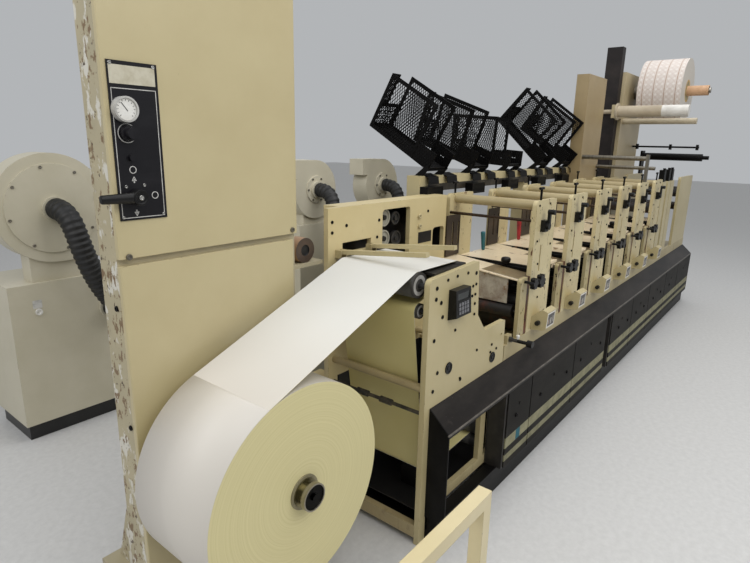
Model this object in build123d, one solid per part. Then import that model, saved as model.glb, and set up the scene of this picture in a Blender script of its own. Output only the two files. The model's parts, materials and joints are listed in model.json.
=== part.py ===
from build123d import *
import math
import os

os.makedirs("parts", exist_ok=True)

# Flexographic press for narrow web, in millimetres.
# X runs with the web from unwind to rewind, -Y is the operator side, Z is up from the floor.
# The origin is on the floor, on the web's centre line, under the middle of the first print unit.

# Driving dimensions
UNIT_PITCH = 508
PRINT_UNITS = 6
WEB_WIDTH = 387
FRAME_GAP = 485
PLATE_THICK = 25
UNIT_PLATE_WIDTH = 264
UNIT_TOP = 1425
RUNNING_GAP = 0.3
SHAFT_GAP = 0.08
MOVING_GAP = 6

OPERATOR_INNER = -FRAME_GAP / 2 + 12
OPERATOR_FACE = OPERATOR_INNER - PLATE_THICK
GEAR_INNER = FRAME_GAP / 2 + 12
GEAR_FACE = GEAR_INNER + PLATE_THICK
FRAME_MID = (OPERATOR_INNER + GEAR_INNER) / 2

# Base
BASE_START = -1057
END_LENGTH = 1623
BASE_END = UNIT_PITCH * (PRINT_UNITS - 1) + END_LENGTH
BASE_LENGTH = BASE_END - BASE_START
SKIRT_OUT = 100
SKIRT_FACE = OPERATOR_FACE - SKIRT_OUT
SKIRT_THICK = 6
SKIRT_BOTTOM = 130
SKIRT_TOP = 545
LEDGE_LOW = 550
LEDGE_HIGH = 640
LEDGE_THICK = 5
KICK_INSET = 30
KICK_HEIGHT = 128
RIB_THICK = 24
RIB_DROP = 9
BAY_RAIL = 50
BAY_POST_SHIFT = 80
PAN_THICK = 4
PUMP_Z = 212
PLATE_GAP = 20
REAR_PANELS = 5
RAIL_TOP = 720
DECK_LEVEL = 660
REAR_FACE = 2 * FRAME_MID - SKIRT_FACE
REAR_END = 2000

# Doors of the skirt, as distances from the start of the base
BAY_LENGTH = 548
DOOR_EDGES = [BAY_LENGTH, 832, 1482, 2132, 2252, 2807, 3357, 3992, 4547, BASE_LENGTH - 3]
DOOR_GAP = 10

# Unwind stand
COLUMN_START = -2035
COLUMN_WIDTH = 728
COLUMN_DEPTH = 125
COLUMN_HEIGHT = 2350
COVER_THICK = 18
COVER_SEAM = 1328
SEAM_GAP = 22
LOWER_COVER_SHORT = 22
SPINDLE_X = -1715
SPINDLE_Z = 576
ROLL_R = 372
CORE_R = 50
CORE_WALL = 10
SPINDLE_R = 30
CHUCK_NECK_R = 36
CHUCK_DISC_R = 48
CHUCK_REACH = 48
CHUCK_DISC_THICK = 17
TAPE_ROLL_R = 53
TAPE_ROLL_X = -1222
TAPE_ROLL_WIDTH = 62
SHELF_TOP = 1197
SHELF_THICK = 16

# Infeed
INFEED_START = -1102
INFEED_TOP = 1207
INFEED_LENGTH = 390
INFEED_STEP_TOP = 864
INFEED_STEP_END = 715
INFEED_LEG = 46
TOP_ROLLER_R = 52
TOP_ROLLER_X = -1095
TOP_ROLLER_Z = 1162
SECOND_ROLLER_R = 18
SECOND_ROLLER_X = -800
SECOND_ROLLER_Z = TOP_ROLLER_Z + TOP_ROLLER_R - SECOND_ROLLER_R - 2
GUIDE_ROLLER_R = 31
GUIDE_ROLLER_X = -1079
GUIDE_ROLLER_Z = 1053
LOW_ROLLER_X = -965
LOW_ROLLER_Z = 312
NIP_X = -560
NIP_Z = LOW_ROLLER_Z + 20
NIP_R = 34
WEB_THICK = 1.0
CLAMP_XS = (-1062, -852)
CLAMP_HINGE_Y = GEAR_INNER - 24
CLAMP_HINGE_Z = TOP_ROLLER_Z + TOP_ROLLER_R + 12
CLAMP_PIN_R = 4
CLAMP_TILT = 6.4
HOUSING_DEPTH = 110
HOUSING_TOP = 1422
HOUSING_BOTTOM = 642
HOUSING_END = -168
HOUSING_WALL = 6
HOUSING_LIP = 25
HOUSING_BOX_START = -1040
CUT_OUT = (-1034, -834, 1215, 1262)

KNOB_X = -332
KNOB_Z = 742
KNOB_SHAFT_R = 9

# Print units, as distances from the middle of a unit
TUBE_X = -60
TUBE_R = 26
TUBE_Z = UNIT_TOP - 28
TIE_SHAFT_X = -122
TIE_SHAFT_R = 8
TIE_SHAFT_Z = UNIT_TOP - 104
SCREW_R = 6
SCREW_TOP = UNIT_TOP + 60
PLATE_ROLLER_R = 52
PLATE_ROLLER_Z = 880
IMPRESSION_R = 80
IMPRESSION_Z = 745
ANILOX_R = 42
ANILOX_X = -95
FOUNTAIN_R = 36
FOUNTAIN_X = -172
BOARD_THICK = 14
TRAY_DEPTH = 46
FRONT_BOARD_X0 = -207
FRONT_BOARD_X1 = -20
FRONT_BOARD_Z = 1020
FRONT_BOARD_RISE = 44
FRONT_BOARD_THICK = 6
INK_PLATE_X = -193
INK_PLATE_THICK = 6
INK_PLATE_Y0 = -160
INK_PLATE_Y1 = 10
INK_PLATE_LOW = 882
BACK_BOARD_X0 = 14
BACK_BOARD_X1 = 296
BACK_BOARD_Z = 1056
BLOCK_X0 = -238
BLOCK_SINK = 4
LEFT_KNOB_X = -193
LEFT_KNOB_R = 31
RIGHT_KNOB_X = -108
RIGHT_KNOB_R = 38
KNOB_ROW_Z = 1015
SLOT_PLATE_X0 = -163
SLOT_PLATE_X1 = -18
SLOT_PLATE_Z0 = 1070
SLOT_PLATE_Z1 = 1304
SLOT_PLATE_THICK = 8

# Guards and their beam
BEAM_Y = REAR_FACE + 4
BEAM_SIZE = 90
BEAM_TOP = 1520
BEAM_START = -250
HINGE_Y = BEAM_Y - 20
HINGE_Z = BEAM_TOP + 45
HINGE_R = 5
GUARD_COUNT = 5
GUARD_WIDTH = 190
GUARD_SHIFT = -212
GUARD_REACH = 490
GUARD_DROP = 325
GUARD_SHEET = 2
GUARD_NOTCH = 131
GUARD_STRIP = 103
GUARD_LIFTS = [30, 20, 4, 43, 36]

# Rewind
CABINET_START = UNIT_PITCH * (GUARD_COUNT - 1) + 3
BEAM_END = CABINET_START + 565
CABINET_WIDTH = 470
CABINET_HEIGHT = 2280
TOWER_START = BASE_END - 1083
TOWER_HEIGHT = 2400
DARK_POST_WIDTH = 95
DARK_POST_DEPTH = 143
DARK_POST_HEIGHT = 2620
ARM_THICK = 30
REWIND_X = TOWER_START + 405
REWIND_Z = 2240
REWIND_ROLL_R = 300
REWIND_SHAFT_R = 25
REWIND_CORE_R = 38
REWIND_CORE_WALL = 9
WASTE_X = TOWER_START - 170
WASTE_Z = 2025
HANDWHEEL_R = 58
LOWER_WASTE_X = TOWER_START + 85
LOWER_WASTE_Z = 1945
TURN_BAR_X = CABINET_START + 40
TURN_BAR_Z = 1610
CHROME_BAR_X = CABINET_START + 440
CHROME_BAR_Z = 1522
CHROME_BAR_R = 15
THIN_SHAFT_X = TOWER_START + 550
THIN_SHAFT_Z = 1707
DARK_ROLLER_X = TOWER_START + 980
DARK_ROLLER_Z = 1602

DIE_TOP = 1400
END_TOP = 1412
DIE_START = UNIT_PITCH * (PRINT_UNITS - 1) + 160
END_PLATE_START = BASE_END - 663

# Blowers behind the press, with the hoses that leave them
LARGE_BLOWER_X = -1565
LARGE_BLOWER_Y = 1908
LARGE_BLOWER_Z = 1311
LARGE_BLOWER_R = 298
LARGE_COVER_R = 243
LARGE_HOSE = 118
BLOWER_CABINET_TOP = 911
BLOWER_CABINET_FOOT = 95
SMALL_BLOWER_XS = (-589, 16)
SMALL_BLOWER_Y = 858
SMALL_BLOWER_Z = 1433
SMALL_BLOWER_R = 162
SMALL_COVER_R = 75
SMALL_HOSE = 80
STAND_TOP = 1240
HOSE_COLLAR = 14
PORT_LENGTH = 20
PORT_Z = 1050
LARGE_PORT_X = -1320
LARGE_PORT_Z = 700


def box(x0, x1, y0, y1, z0, z1):
    """A block given by its two ends along each axis."""
    place = Pos((x0 + x1) / 2, (y0 + y1) / 2, (z0 + z1) / 2)
    return place * Box(x1 - x0, y1 - y0, z1 - z0)


def rod(x, z, r, y0, y1):
    """A round bar across the press."""
    return Pos(x, (y0 + y1) / 2, z) * Rot(90, 0, 0) * Cylinder(r, y1 - y0)


def pipe(x, z, r, wall, y0, y1):
    return rod(x, z, r, y0, y1) - rod(x, z, r - wall, y0 - 1, y1 + 1)


def along(x0, x1, y, z, r):
    """A round bar with the web's direction."""
    return Pos((x0 + x1) / 2, y, z) * Rot(0, 90, 0) * Cylinder(r, x1 - x0)


def post(x, y, z0, z1, r):
    return Pos(x, y, (z0 + z1) / 2) * Cylinder(r, z1 - z0)


def upright_plate(points, y0, y1):
    """A plate that stands along the press, from its outline in X and Z."""
    outline = Plane.XZ * make_face(Polyline(*points, close=True))
    return Pos(0, y0, 0) * extrude(outline, amount=-(y1 - y0))


def cross_profile(points, x0, x1):
    """A long folded piece along the press, from its outline in Y and Z."""
    outline = Plane.YZ * make_face(Polyline(*points, close=True))
    return Pos(x0, 0, 0) * extrude(outline, amount=x1 - x0)


def rounded(plate, corners, radius):
    """Rounds the edges of a plate that run across the press through the corners."""
    chosen = []
    for x, z in corners:
        for edge in plate.edges().filter_by(Axis.Y):
            middle = edge.center()
            if abs(middle.X - x) < 1 and abs(middle.Z - z) < 1:
                chosen.append(edge)
    return fillet(chosen, radius)


def save(name, *solids):
    """Writes one node, with its solids kept apart."""
    flat = []
    for solid in solids:
        flat.extend(solid.solids())
    shape = flat[0] if len(flat) == 1 else Compound(children=flat)
    export_step(shape, f"parts/{name}.step")


def star_knob(x, z, r, y0, y1):
    """A hand knob with six lobes on a bar across the press."""
    lobe = 0.3 * r
    knob = rod(x, z, r - lobe, y0, y1)
    for k in range(6):
        angle = math.radians(60 * k)
        cx = x + (r - lobe) * math.cos(angle)
        cz = z + (r - lobe) * math.sin(angle)
        knob = knob + rod(cx, cz, lobe, y0, y1)
    return knob


def unit_x(index):
    return index * UNIT_PITCH


# Unwind stand: a box upright with two face covers
def unwind_stand():
    x0 = COLUMN_START
    x1 = COLUMN_START + COLUMN_WIDTH
    y0 = GEAR_INNER + COVER_THICK
    y1 = GEAR_INNER + COLUMN_DEPTH
    column = box(x0, x1, y0, y1, 0, COLUMN_HEIGHT)
    foot = box(x0, x1, y1, y1 + 260, 0, 60)
    brace = cross_profile([(y1, 60), (y1 + 230, 60), (y1, 700)], x0 + 60, x0 + 90)
    brace_two = Pos(COLUMN_WIDTH - 150, 0, 0) * brace
    shelf = box(x1, INFEED_START - HOUSING_LIP, y0 + 12, y0 + 106, SHELF_TOP - SHELF_THICK, SHELF_TOP)
    column = column + foot + brace + brace_two + shelf
    upper = box(x0, x1, GEAR_INNER, y0, COVER_SEAM + SEAM_GAP / 2, COLUMN_HEIGHT)
    upper = fillet(upper.edges().filter_by(Axis.Z).group_by(Axis.Y)[0], 4)
    lower = box(x0, x1 - LOWER_COVER_SHORT, GEAR_INNER, y0, 12, COVER_SEAM - SEAM_GAP / 2)
    lower = fillet(lower.edges().filter_by(Axis.Z).group_by(Axis.Y)[0], 4)
    save("unwind_column", column)
    save("unwind_covers", upper, lower)
    z = SHELF_TOP + TAPE_ROLL_R
    tape = pipe(TAPE_ROLL_X, z, TAPE_ROLL_R, 30, y0 + 24, y0 + 24 + TAPE_ROLL_WIDTH)
    tape = tape + rod(TAPE_ROLL_X, z, TAPE_ROLL_R - 30, y0 + 30, y0 + 20 + TAPE_ROLL_WIDTH)
    save("tape_roll", tape)


# Control panel: a thin plate with gauge, regulator and selector
PANEL_X0 = COLUMN_START + 14
PANEL_X1 = PANEL_X0 + 151
PANEL_Z0 = 1456
PANEL_Z1 = 1908
PANEL_FACE = GEAR_INNER - 4
GAUGE_X = PANEL_X0 + 37
GAUGE_Z = 1776
GAUGE_R = 36
REGULATOR_X = PANEL_X0 + 43
REGULATOR_Z = 1710
SWITCH_X = PANEL_X0 + 48
SWITCH_Z = 1640
LEVER_X = PANEL_X0 + 51
LEVER_Z = 1525
LEVER_HUB_R = 24
LEVER_REACH = 118


def control_panel():
    plate = box(PANEL_X0, PANEL_X1, PANEL_FACE, GEAR_INNER, PANEL_Z0, PANEL_Z1)
    gauge = rod(GAUGE_X, GAUGE_Z, GAUGE_R, PANEL_FACE - 24, PANEL_FACE)
    dial = rod(GAUGE_X, GAUGE_Z, GAUGE_R - 5, PANEL_FACE - 25, PANEL_FACE - 18)
    gauge = gauge - dial
    collar = rod(REGULATOR_X, REGULATOR_Z, 22, PANEL_FACE - 20, PANEL_FACE)
    knob = rod(REGULATOR_X, REGULATOR_Z, 17, PANEL_FACE - 38, PANEL_FACE - 20)
    switch_nut = rod(SWITCH_X, SWITCH_Z, 9, PANEL_FACE - 12, PANEL_FACE)
    seat = rod(LEVER_X, LEVER_Z, LEVER_HUB_R - 4, PANEL_FACE - 8, PANEL_FACE)
    save("control_panel", plate + gauge + collar + knob + switch_nut + seat)
    y0 = PANEL_FACE - 8 - RUNNING_GAP
    hub = rod(LEVER_X, LEVER_Z, LEVER_HUB_R, y0 - 30, y0)
    tip = rod(LEVER_X - LEVER_REACH, LEVER_Z, 9, y0 - 30, y0 - 12)
    arm = box(LEVER_X - LEVER_REACH, LEVER_X, y0 - 30, y0 - 12, LEVER_Z - 9, LEVER_Z + 9)
    save("panel_lever", hub + arm + tip)


# Unwind spindle with its chuck, and the roll of web stock on it
def unwind_reel():
    bearing = rod(SPINDLE_X, SPINDLE_Z, 85, GEAR_INNER - 22, GEAR_INNER)
    bearing = bearing + rod(SPINDLE_X, SPINDLE_Z, 60, GEAR_INNER - 44, GEAR_INNER - 22)
    bearing = bearing - rod(SPINDLE_X, SPINDLE_Z, SPINDLE_R + SHAFT_GAP, GEAR_INNER - 45,
                            GEAR_INNER + 1)
    y0 = GEAR_FACE
    far = rod(REWIND_X, REWIND_Z, 70, y0 - 60, y0)
    far = far - rod(REWIND_X, REWIND_Z, REWIND_SHAFT_R + SHAFT_GAP, y0 - 61, y0 + 1)
    save("spindle_bearings", bearing, far)
    near = -WEB_WIDTH / 2 - 1.5
    disc = near - CHUCK_REACH
    neck = disc + CHUCK_DISC_THICK
    shaft = rod(SPINDLE_X, SPINDLE_Z, SPINDLE_R, neck, GEAR_INNER - 0.5)
    chuck = rod(SPINDLE_X, SPINDLE_Z, CORE_R - SHAFT_GAP, near - 8, WEB_WIDTH / 2)
    chuck = chuck + rod(SPINDLE_X, SPINDLE_Z, CHUCK_NECK_R, neck, near - 8)
    slots = []
    for k in range(6):
        slot = Rot(0, 60 * k, 0) * Pos(0, near - 16, CHUCK_NECK_R) * Box(16, 18, 6)
        slots.append(Pos(SPINDLE_X, 0, SPINDLE_Z) * slot)
    chuck = chuck - slots
    rim = rod(SPINDLE_X, SPINDLE_Z, CHUCK_DISC_R, disc, neck)
    rim = rim - rod(SPINDLE_X, SPINDLE_Z, CHUCK_DISC_R - 5, disc - 1, disc + 4)
    rim = rim + rod(SPINDLE_X, SPINDLE_Z, 12, disc - 4, disc + 4)
    collar = rod(SPINDLE_X, SPINDLE_Z, 75, WEB_WIDTH / 2 + 2, WEB_WIDTH / 2 + 16)
    save("unwind_spindle", shaft + chuck + rim + collar)
    core = pipe(SPINDLE_X, SPINDLE_Z, CORE_R + CORE_WALL, CORE_WALL, near - 3, WEB_WIDTH / 2)
    paper = rod(SPINDLE_X, SPINDLE_Z, ROLL_R, -WEB_WIDTH / 2, WEB_WIDTH / 2)
    paper = paper - rod(SPINDLE_X, SPINDLE_Z, CORE_R, -300, 300)
    save("unwind_roll", core + paper)


# Side plates of the infeed
def infeed_frame():
    x0 = INFEED_START
    step_x = x0 + 490
    end_x = x0 + INFEED_STEP_END
    under = LEDGE_LOW - PLATE_GAP
    points = [(x0, 0), (x0 + INFEED_LEG, 0), (x0 + INFEED_LEG, under),
              (end_x, under), (end_x - 15, INFEED_STEP_TOP),
              (step_x, INFEED_STEP_TOP), (x0 + 410, INFEED_STEP_TOP + 93),
              (x0 + INFEED_LENGTH, INFEED_TOP), (x0, INFEED_TOP - 17)]
    plate = upright_plate(points, OPERATOR_FACE, OPERATOR_INNER)
    plate = rounded(plate, [(x0, INFEED_TOP - 17)], 26)
    plate = rounded(plate, [(x0 + INFEED_LENGTH, INFEED_TOP), (end_x - 15, INFEED_STEP_TOP)], 8)
    small = [(52, 1150), (49, 1106), (88, 1084), (103, 1021), (48, 934), (367, 1158),
             (85, 784), (56, 711), (281, 690), (670, 796)]
    for dx, z in small:
        plate = plate - rod(x0 + dx, z, 7, OPERATOR_FACE - 1, OPERATOR_INNER + 1)
    save("infeed_operator_plate", plate)
    keypad = cross_profile([(OPERATOR_FACE, 996), (OPERATOR_FACE, 1126),
                            (OPERATOR_FACE - 34, 1126), (OPERATOR_FACE - 42, 1012)],
                           x0 + 145, x0 + 265)
    screen = box(x0 + 159, x0 + 251, OPERATOR_FACE - 60, OPERATOR_FACE - 34, 1080, 1112)
    save("keypad_box", keypad - screen)


def gear_housing():
    x0 = INFEED_START - HOUSING_LIP
    y1 = GEAR_INNER + HOUSING_DEPTH
    shell = box(x0, HOUSING_END, GEAR_INNER, GEAR_FACE, HOUSING_BOTTOM, HOUSING_TOP)
    shell = shell + box(HOUSING_BOX_START, HOUSING_END, GEAR_FACE, y1, HOUSING_BOTTOM, HOUSING_TOP)
    shell = shell + box(x0, BASE_START - 8, GEAR_INNER, y1, 0, HOUSING_BOTTOM)
    inside = box(HOUSING_BOX_START + HOUSING_WALL, HOUSING_END - 10, GEAR_FACE,
                 y1 - HOUSING_WALL, HOUSING_BOTTOM + 20, HOUSING_TOP - HOUSING_WALL)
    cut_x0, cut_x1, cut_z0, cut_z1 = CUT_OUT
    cut = box(cut_x0, cut_x1, GEAR_INNER - 1, GEAR_FACE + 1, cut_z0, cut_z1)
    port_x = SMALL_BLOWER_XS[0]
    port = rod(port_x, PORT_Z, SMALL_HOSE / 2 + 6, y1, y1 + PORT_LENGTH)
    window = box(-748, -520, GEAR_INNER - 1, GEAR_INNER + PLATE_THICK + 1, 1110, 1385)
    window = fillet(window.edges().filter_by(Axis.Y), 18)
    notch = box(-300, -185, GEAR_INNER - 1, GEAR_INNER + PLATE_THICK + 1, 1130, 1252)
    notch = fillet(notch.edges().filter_by(Axis.Y).group_by(Axis.Z)[-1], 22)
    shell = shell - inside - window - notch - cut + port
    for x, z in [(-1102, 1361), (-1009, 1338), (-1102, 1315), (-776, 1340), (-789, 1260),
                 (-439, 1328), (-435, 1275), (-355, 1348)]:
        shell = shell - rod(x, z, 6, GEAR_INNER - 1, GEAR_INNER + 20)
    save("gear_housing", shell)
    wheels = []
    for x, z, r in [(-690, 1340, 44), (-690, 1235, 44), (-600, 1330, 34), (-590, 1225, 40)]:
        wheel = rod(x, z, r, GEAR_INNER + PLATE_THICK + 8, GEAR_INNER + PLATE_THICK + 24)
        wheel = wheel - rod(x, z, r - 8, GEAR_INNER + PLATE_THICK + 7, GEAR_INNER + PLATE_THICK + 14)
        hub = rod(x, z, 12, GEAR_INNER + PLATE_THICK + 4, y1 - HOUSING_WALL)
        wheels.append(wheel + hub)
    save("drive_wheels", *wheels)


def infeed_parts():
    op = OPERATOR_INNER
    gear = GEAR_INNER
    face = WEB_WIDTH / 2 + 10
    top = rod(TOP_ROLLER_X, TOP_ROLLER_Z, TOP_ROLLER_R, -face, face)
    top = top + rod(TOP_ROLLER_X, TOP_ROLLER_Z, 12, op, gear)
    guide = rod(GUIDE_ROLLER_X, GUIDE_ROLLER_Z, GUIDE_ROLLER_R, -face, face)
    guide = guide + rod(GUIDE_ROLLER_X, GUIDE_ROLLER_Z, 9, op, gear)
    second = rod(SECOND_ROLLER_X, SECOND_ROLLER_Z, SECOND_ROLLER_R, op, gear)
    low = rod(LOW_ROLLER_X, LOW_ROLLER_Z, GUIDE_ROLLER_R, -face, face)
    low = low + rod(LOW_ROLLER_X, LOW_ROLLER_Z, 9, op, gear)
    nip = rod(NIP_X, NIP_Z, NIP_R, op, gear)
    under = rod(NIP_X, NIP_Z - 2 * NIP_R - WEB_THICK - 2 * RUNNING_GAP, NIP_R, op, gear)
    save("infeed_rollers", top, guide, second, low, nip, under)
    table_z = TOP_ROLLER_Z + TOP_ROLLER_R - 12
    table = box(TOP_ROLLER_X + 62, SECOND_ROLLER_X - 26, op, gear, table_z - 10, table_z)
    ears = []
    for x in CLAMP_XS:
        bracket = along(x - 15, x + 15, CLAMP_HINGE_Y, CLAMP_HINGE_Z, CLAMP_PIN_R)
        for x1 in (x - 17.5, x + 17.5):
            bracket = bracket + box(x1 - 3, x1 + 3, CLAMP_HINGE_Y - 10, gear, table_z,
                                    CLAMP_HINGE_Z + 12)
        ears.append(bracket)
    save("splice_table", table, *ears)
    tie = rod(INFEED_START + 17, 730, 17, op, gear)
    low_bar = box(INFEED_START, INFEED_START + 30, op, gear, 30, 90)
    back_tie = rod(-420, 700, 17, op, gear)
    slotted = rod(INFEED_START + 14, 620, 8, op, gear)
    for k in range(2):
        y = op + 150 + 130 * k
        slotted = slotted + rod(INFEED_START + 14, 620, 14, y, y + 60)
    save("tie_bars", tie, low_bar, back_tie, slotted)


# Web: a single sheet that leaves the roll, crosses the table and goes down into the base
def straight_run(first, second):
    """Ends of the straight web between two rollers; a side of +1 is left of travel."""
    x0, z0, r0, side0 = first
    x1, z1, r1, side1 = second
    r0 = r0 + RUNNING_GAP + (WEB_THICK if side0 < 0 else 0)
    r1 = r1 + RUNNING_GAP + (WEB_THICK if side1 < 0 else 0)
    base = math.atan2(z1 - z0, x1 - x0)
    angle = base - math.asin((side0 * r0 - side1 * r1) / math.hypot(x1 - x0, z1 - z0))
    nx = -math.sin(angle)
    nz = math.cos(angle)
    start = (x0 + side0 * r0 * nx, z0 + side0 * r0 * nz)
    end = (x1 + side1 * r1 * nx, z1 + side1 * r1 * nz)
    return start, end, (nx * WEB_THICK, nz * WEB_THICK)


def web_strip(start, end, offset):
    points = [start, end, (end[0] + offset[0], end[1] + offset[1]),
              (start[0] + offset[0], start[1] + offset[1])]
    return upright_plate(points, -WEB_WIDTH / 2, WEB_WIDTH / 2)


def web_turn(roller, arrive, leave):
    """The part of the web that lies on a roller."""
    x, z, r, side = roller
    first = math.atan2(arrive[1] - z, arrive[0] - x)
    last = math.atan2(leave[1] - z, leave[0] - x)
    swing = last - first
    while side > 0 and swing > 0:
        swing = swing - 2 * math.pi
    while side < 0 and swing < 0:
        swing = swing + 2 * math.pi
    outer = r + RUNNING_GAP + WEB_THICK
    points = [(x, z)]
    for k in range(7):
        angle = first + swing * k / 6
        points.append((x + 3 * outer * math.cos(angle), z + 3 * outer * math.sin(angle)))
    sector = upright_plate(points, -WEB_WIDTH, WEB_WIDTH)
    return pipe(x, z, outer, WEB_THICK, -WEB_WIDTH / 2, WEB_WIDTH / 2) & sector


def web_sheet():
    path = [(SPINDLE_X, SPINDLE_Z, ROLL_R, 1),
            (TOP_ROLLER_X, TOP_ROLLER_Z, TOP_ROLLER_R, 1),
            (SECOND_ROLLER_X, SECOND_ROLLER_Z, SECOND_ROLLER_R, 1),
            (GUIDE_ROLLER_X, GUIDE_ROLLER_Z, GUIDE_ROLLER_R, -1),
            (LOW_ROLLER_X, LOW_ROLLER_Z, GUIDE_ROLLER_R, -1),
            (NIP_X, NIP_Z, NIP_R, -1)]
    runs = [straight_run(p, q) for p, q in zip(path[:-1], path[1:])]
    sheet = web_strip(*runs[0])
    for run in runs[1:]:
        sheet = sheet + web_strip(*run)
    for k in range(1, len(path) - 1):
        sheet = sheet + web_turn(path[k], runs[k - 1][1], runs[k][0])
    save("web", sheet)


def splice_clamps():
    for name, x in zip(("splice_clamp_front", "splice_clamp_rear"), CLAMP_XS):
        bar = box(x - 13, x + 13, OPERATOR_INNER + 14, CLAMP_HINGE_Y + 8, CLAMP_HINGE_Z - 6,
                  CLAMP_HINGE_Z + 12)
        bar = bar - along(x - 20, x + 20, CLAMP_HINGE_Y, CLAMP_HINGE_Z, CLAMP_PIN_R + SHAFT_GAP)
        tilt = Pos(0, CLAMP_HINGE_Y, CLAMP_HINGE_Z) * Rot(-CLAMP_TILT, 0, 0)
        save(name, tilt * Pos(0, -CLAMP_HINGE_Y, -CLAMP_HINGE_Z) * bar)


# Base: plinth, frame, ledge and skirt doors
def base_parts():
    y0 = SKIRT_FACE + KICK_INSET
    y1 = REAR_FACE - KICK_INSET
    x0 = INFEED_START + INFEED_LEG + RUNNING_GAP
    plinth = box(x0, BASE_END, y0, y0 + 60, 0, KICK_HEIGHT)
    plinth = plinth + box(x0, REAR_END, GEAR_FACE, y1, 0, KICK_HEIGHT)
    plinth = plinth + box(x0, BASE_END, GEAR_INNER - 60, GEAR_FACE, 0, KICK_HEIGHT)
    for x in (x0, -40, 1700, BASE_END - 80):
        plinth = plinth + box(x, x + 80, y0, GEAR_FACE, 0, 60)
    save("plinth", plinth)

    rail_x0 = INFEED_START + INFEED_STEP_END + 2
    operator_rail = box(rail_x0, BASE_END - 6, OPERATOR_FACE, OPERATOR_INNER, KICK_HEIGHT, RAIL_TOP)
    gear_rail = box(HOUSING_END + 2, BASE_END - 6, GEAR_INNER, GEAR_FACE, KICK_HEIGHT, RAIL_TOP)
    gear_rail = gear_rail + box(BASE_START, HOUSING_END + 2, GEAR_INNER, GEAR_FACE,
                                KICK_HEIGHT, HOUSING_BOTTOM)
    deck = box(rail_x0, BASE_END - 6, OPERATOR_INNER, GEAR_INNER, DECK_LEVEL - 10, DECK_LEVEL)
    frame = operator_rail + gear_rail + deck
    for x in (rail_x0, 1700, BASE_END - 46):
        frame = frame + box(x, x + 40, OPERATOR_INNER, GEAR_INNER, KICK_HEIGHT, DECK_LEVEL)
    lug = box(KNOB_X - 24, KNOB_X + 24, OPERATOR_FACE, OPERATOR_INNER, RAIL_TOP, KNOB_Z + 22)
    frame = frame + lug - rod(KNOB_X, KNOB_Z, KNOB_SHAFT_R + 0.1, OPERATOR_FACE - 1,
                              OPERATOR_INNER + 1)
    knob = rod(KNOB_X, KNOB_Z, KNOB_SHAFT_R, OPERATOR_FACE - 124, OPERATOR_INNER + 20)
    knob = knob + rod(KNOB_X, KNOB_Z, 18, OPERATOR_FACE - 124, OPERATOR_FACE - 96)
    knob = knob + rod(KNOB_X, KNOB_Z, 14, OPERATOR_FACE - 14, OPERATOR_FACE - 0.5)
    save("register_knob", knob)
    bay_x1 = BASE_START + BAY_LENGTH
    bay_foot = INFEED_START + INFEED_LEG + RUNNING_GAP
    post_x0 = bay_x1 - BAY_POST_SHIFT
    frame = frame + box(bay_foot, rail_x0 + 1, OPERATOR_FACE, OPERATOR_INNER, KICK_HEIGHT,
                        KICK_HEIGHT + BAY_RAIL)
    frame = frame + box(post_x0, post_x0 + BAY_RAIL, OPERATOR_FACE, OPERATOR_INNER,
                        KICK_HEIGHT + BAY_RAIL, LEDGE_LOW - PLATE_GAP)
    frame = frame + box(bay_foot, rail_x0 + 1, OPERATOR_INNER, GEAR_INNER, KICK_HEIGHT,
                        KICK_HEIGHT + PAN_THICK)
    rib_points = [(SKIRT_FACE + SKIRT_THICK, KICK_HEIGHT),
                  (SKIRT_FACE + SKIRT_THICK, LEDGE_LOW - RIB_DROP),
                  (OPERATOR_FACE, LEDGE_HIGH - RIB_DROP), (OPERATOR_FACE, KICK_HEIGHT)]
    far_points = [(2 * FRAME_MID - y, z) for y, z in rib_points]
    for distance in DOOR_EDGES:
        x = min(BASE_START + distance, BASE_END - 30)
        rib = cross_profile(rib_points, x - RIB_THICK / 2, x + RIB_THICK / 2)
        frame = frame + rib
    for k in range(REAR_PANELS + 1):
        x = BASE_START + 40 + k * (REAR_END - BASE_START - 60) / REAR_PANELS
        frame = frame + cross_profile(far_points, x - RIB_THICK / 2, x + RIB_THICK / 2)
    save("base_frame", frame)

    t = LEDGE_THICK
    fold = [(SKIRT_FACE, LEDGE_LOW - 14), (SKIRT_FACE, LEDGE_LOW),
            (OPERATOR_FACE - 1, LEDGE_HIGH), (OPERATOR_FACE - 1, LEDGE_HIGH - t - 2),
            (SKIRT_FACE + t, LEDGE_LOW - 3), (SKIRT_FACE + t, LEDGE_LOW - 14)]
    far_fold = [(2 * FRAME_MID - y, z) for y, z in fold]
    folds = [cross_profile(fold, BASE_START, BASE_END),
             cross_profile(far_fold, BASE_START, REAR_END)]

    doors = []
    edges = [BASE_START + d for d in DOOR_EDGES]
    for left, right in zip(edges[:-1], edges[1:]):
        if right - left < 200:
            continue
        door = box(left + DOOR_GAP / 2, right - DOOR_GAP / 2, SKIRT_FACE, SKIRT_FACE + SKIRT_THICK,
                   SKIRT_BOTTOM, SKIRT_TOP - 10)
        latch = rod((left + right) / 2, SKIRT_TOP - 110, 9, SKIRT_FACE - 3, SKIRT_FACE)
        doors.append(door + latch)
    width = (REAR_END - BASE_START) / REAR_PANELS
    for k in range(REAR_PANELS):
        x0 = BASE_START + k * width + DOOR_GAP / 2
        doors.append(box(x0, x0 + width - DOOR_GAP, REAR_FACE - SKIRT_THICK, REAR_FACE,
                         SKIRT_BOTTOM, SKIRT_TOP - 10))
    save("skirt_doors", *doors)

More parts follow.
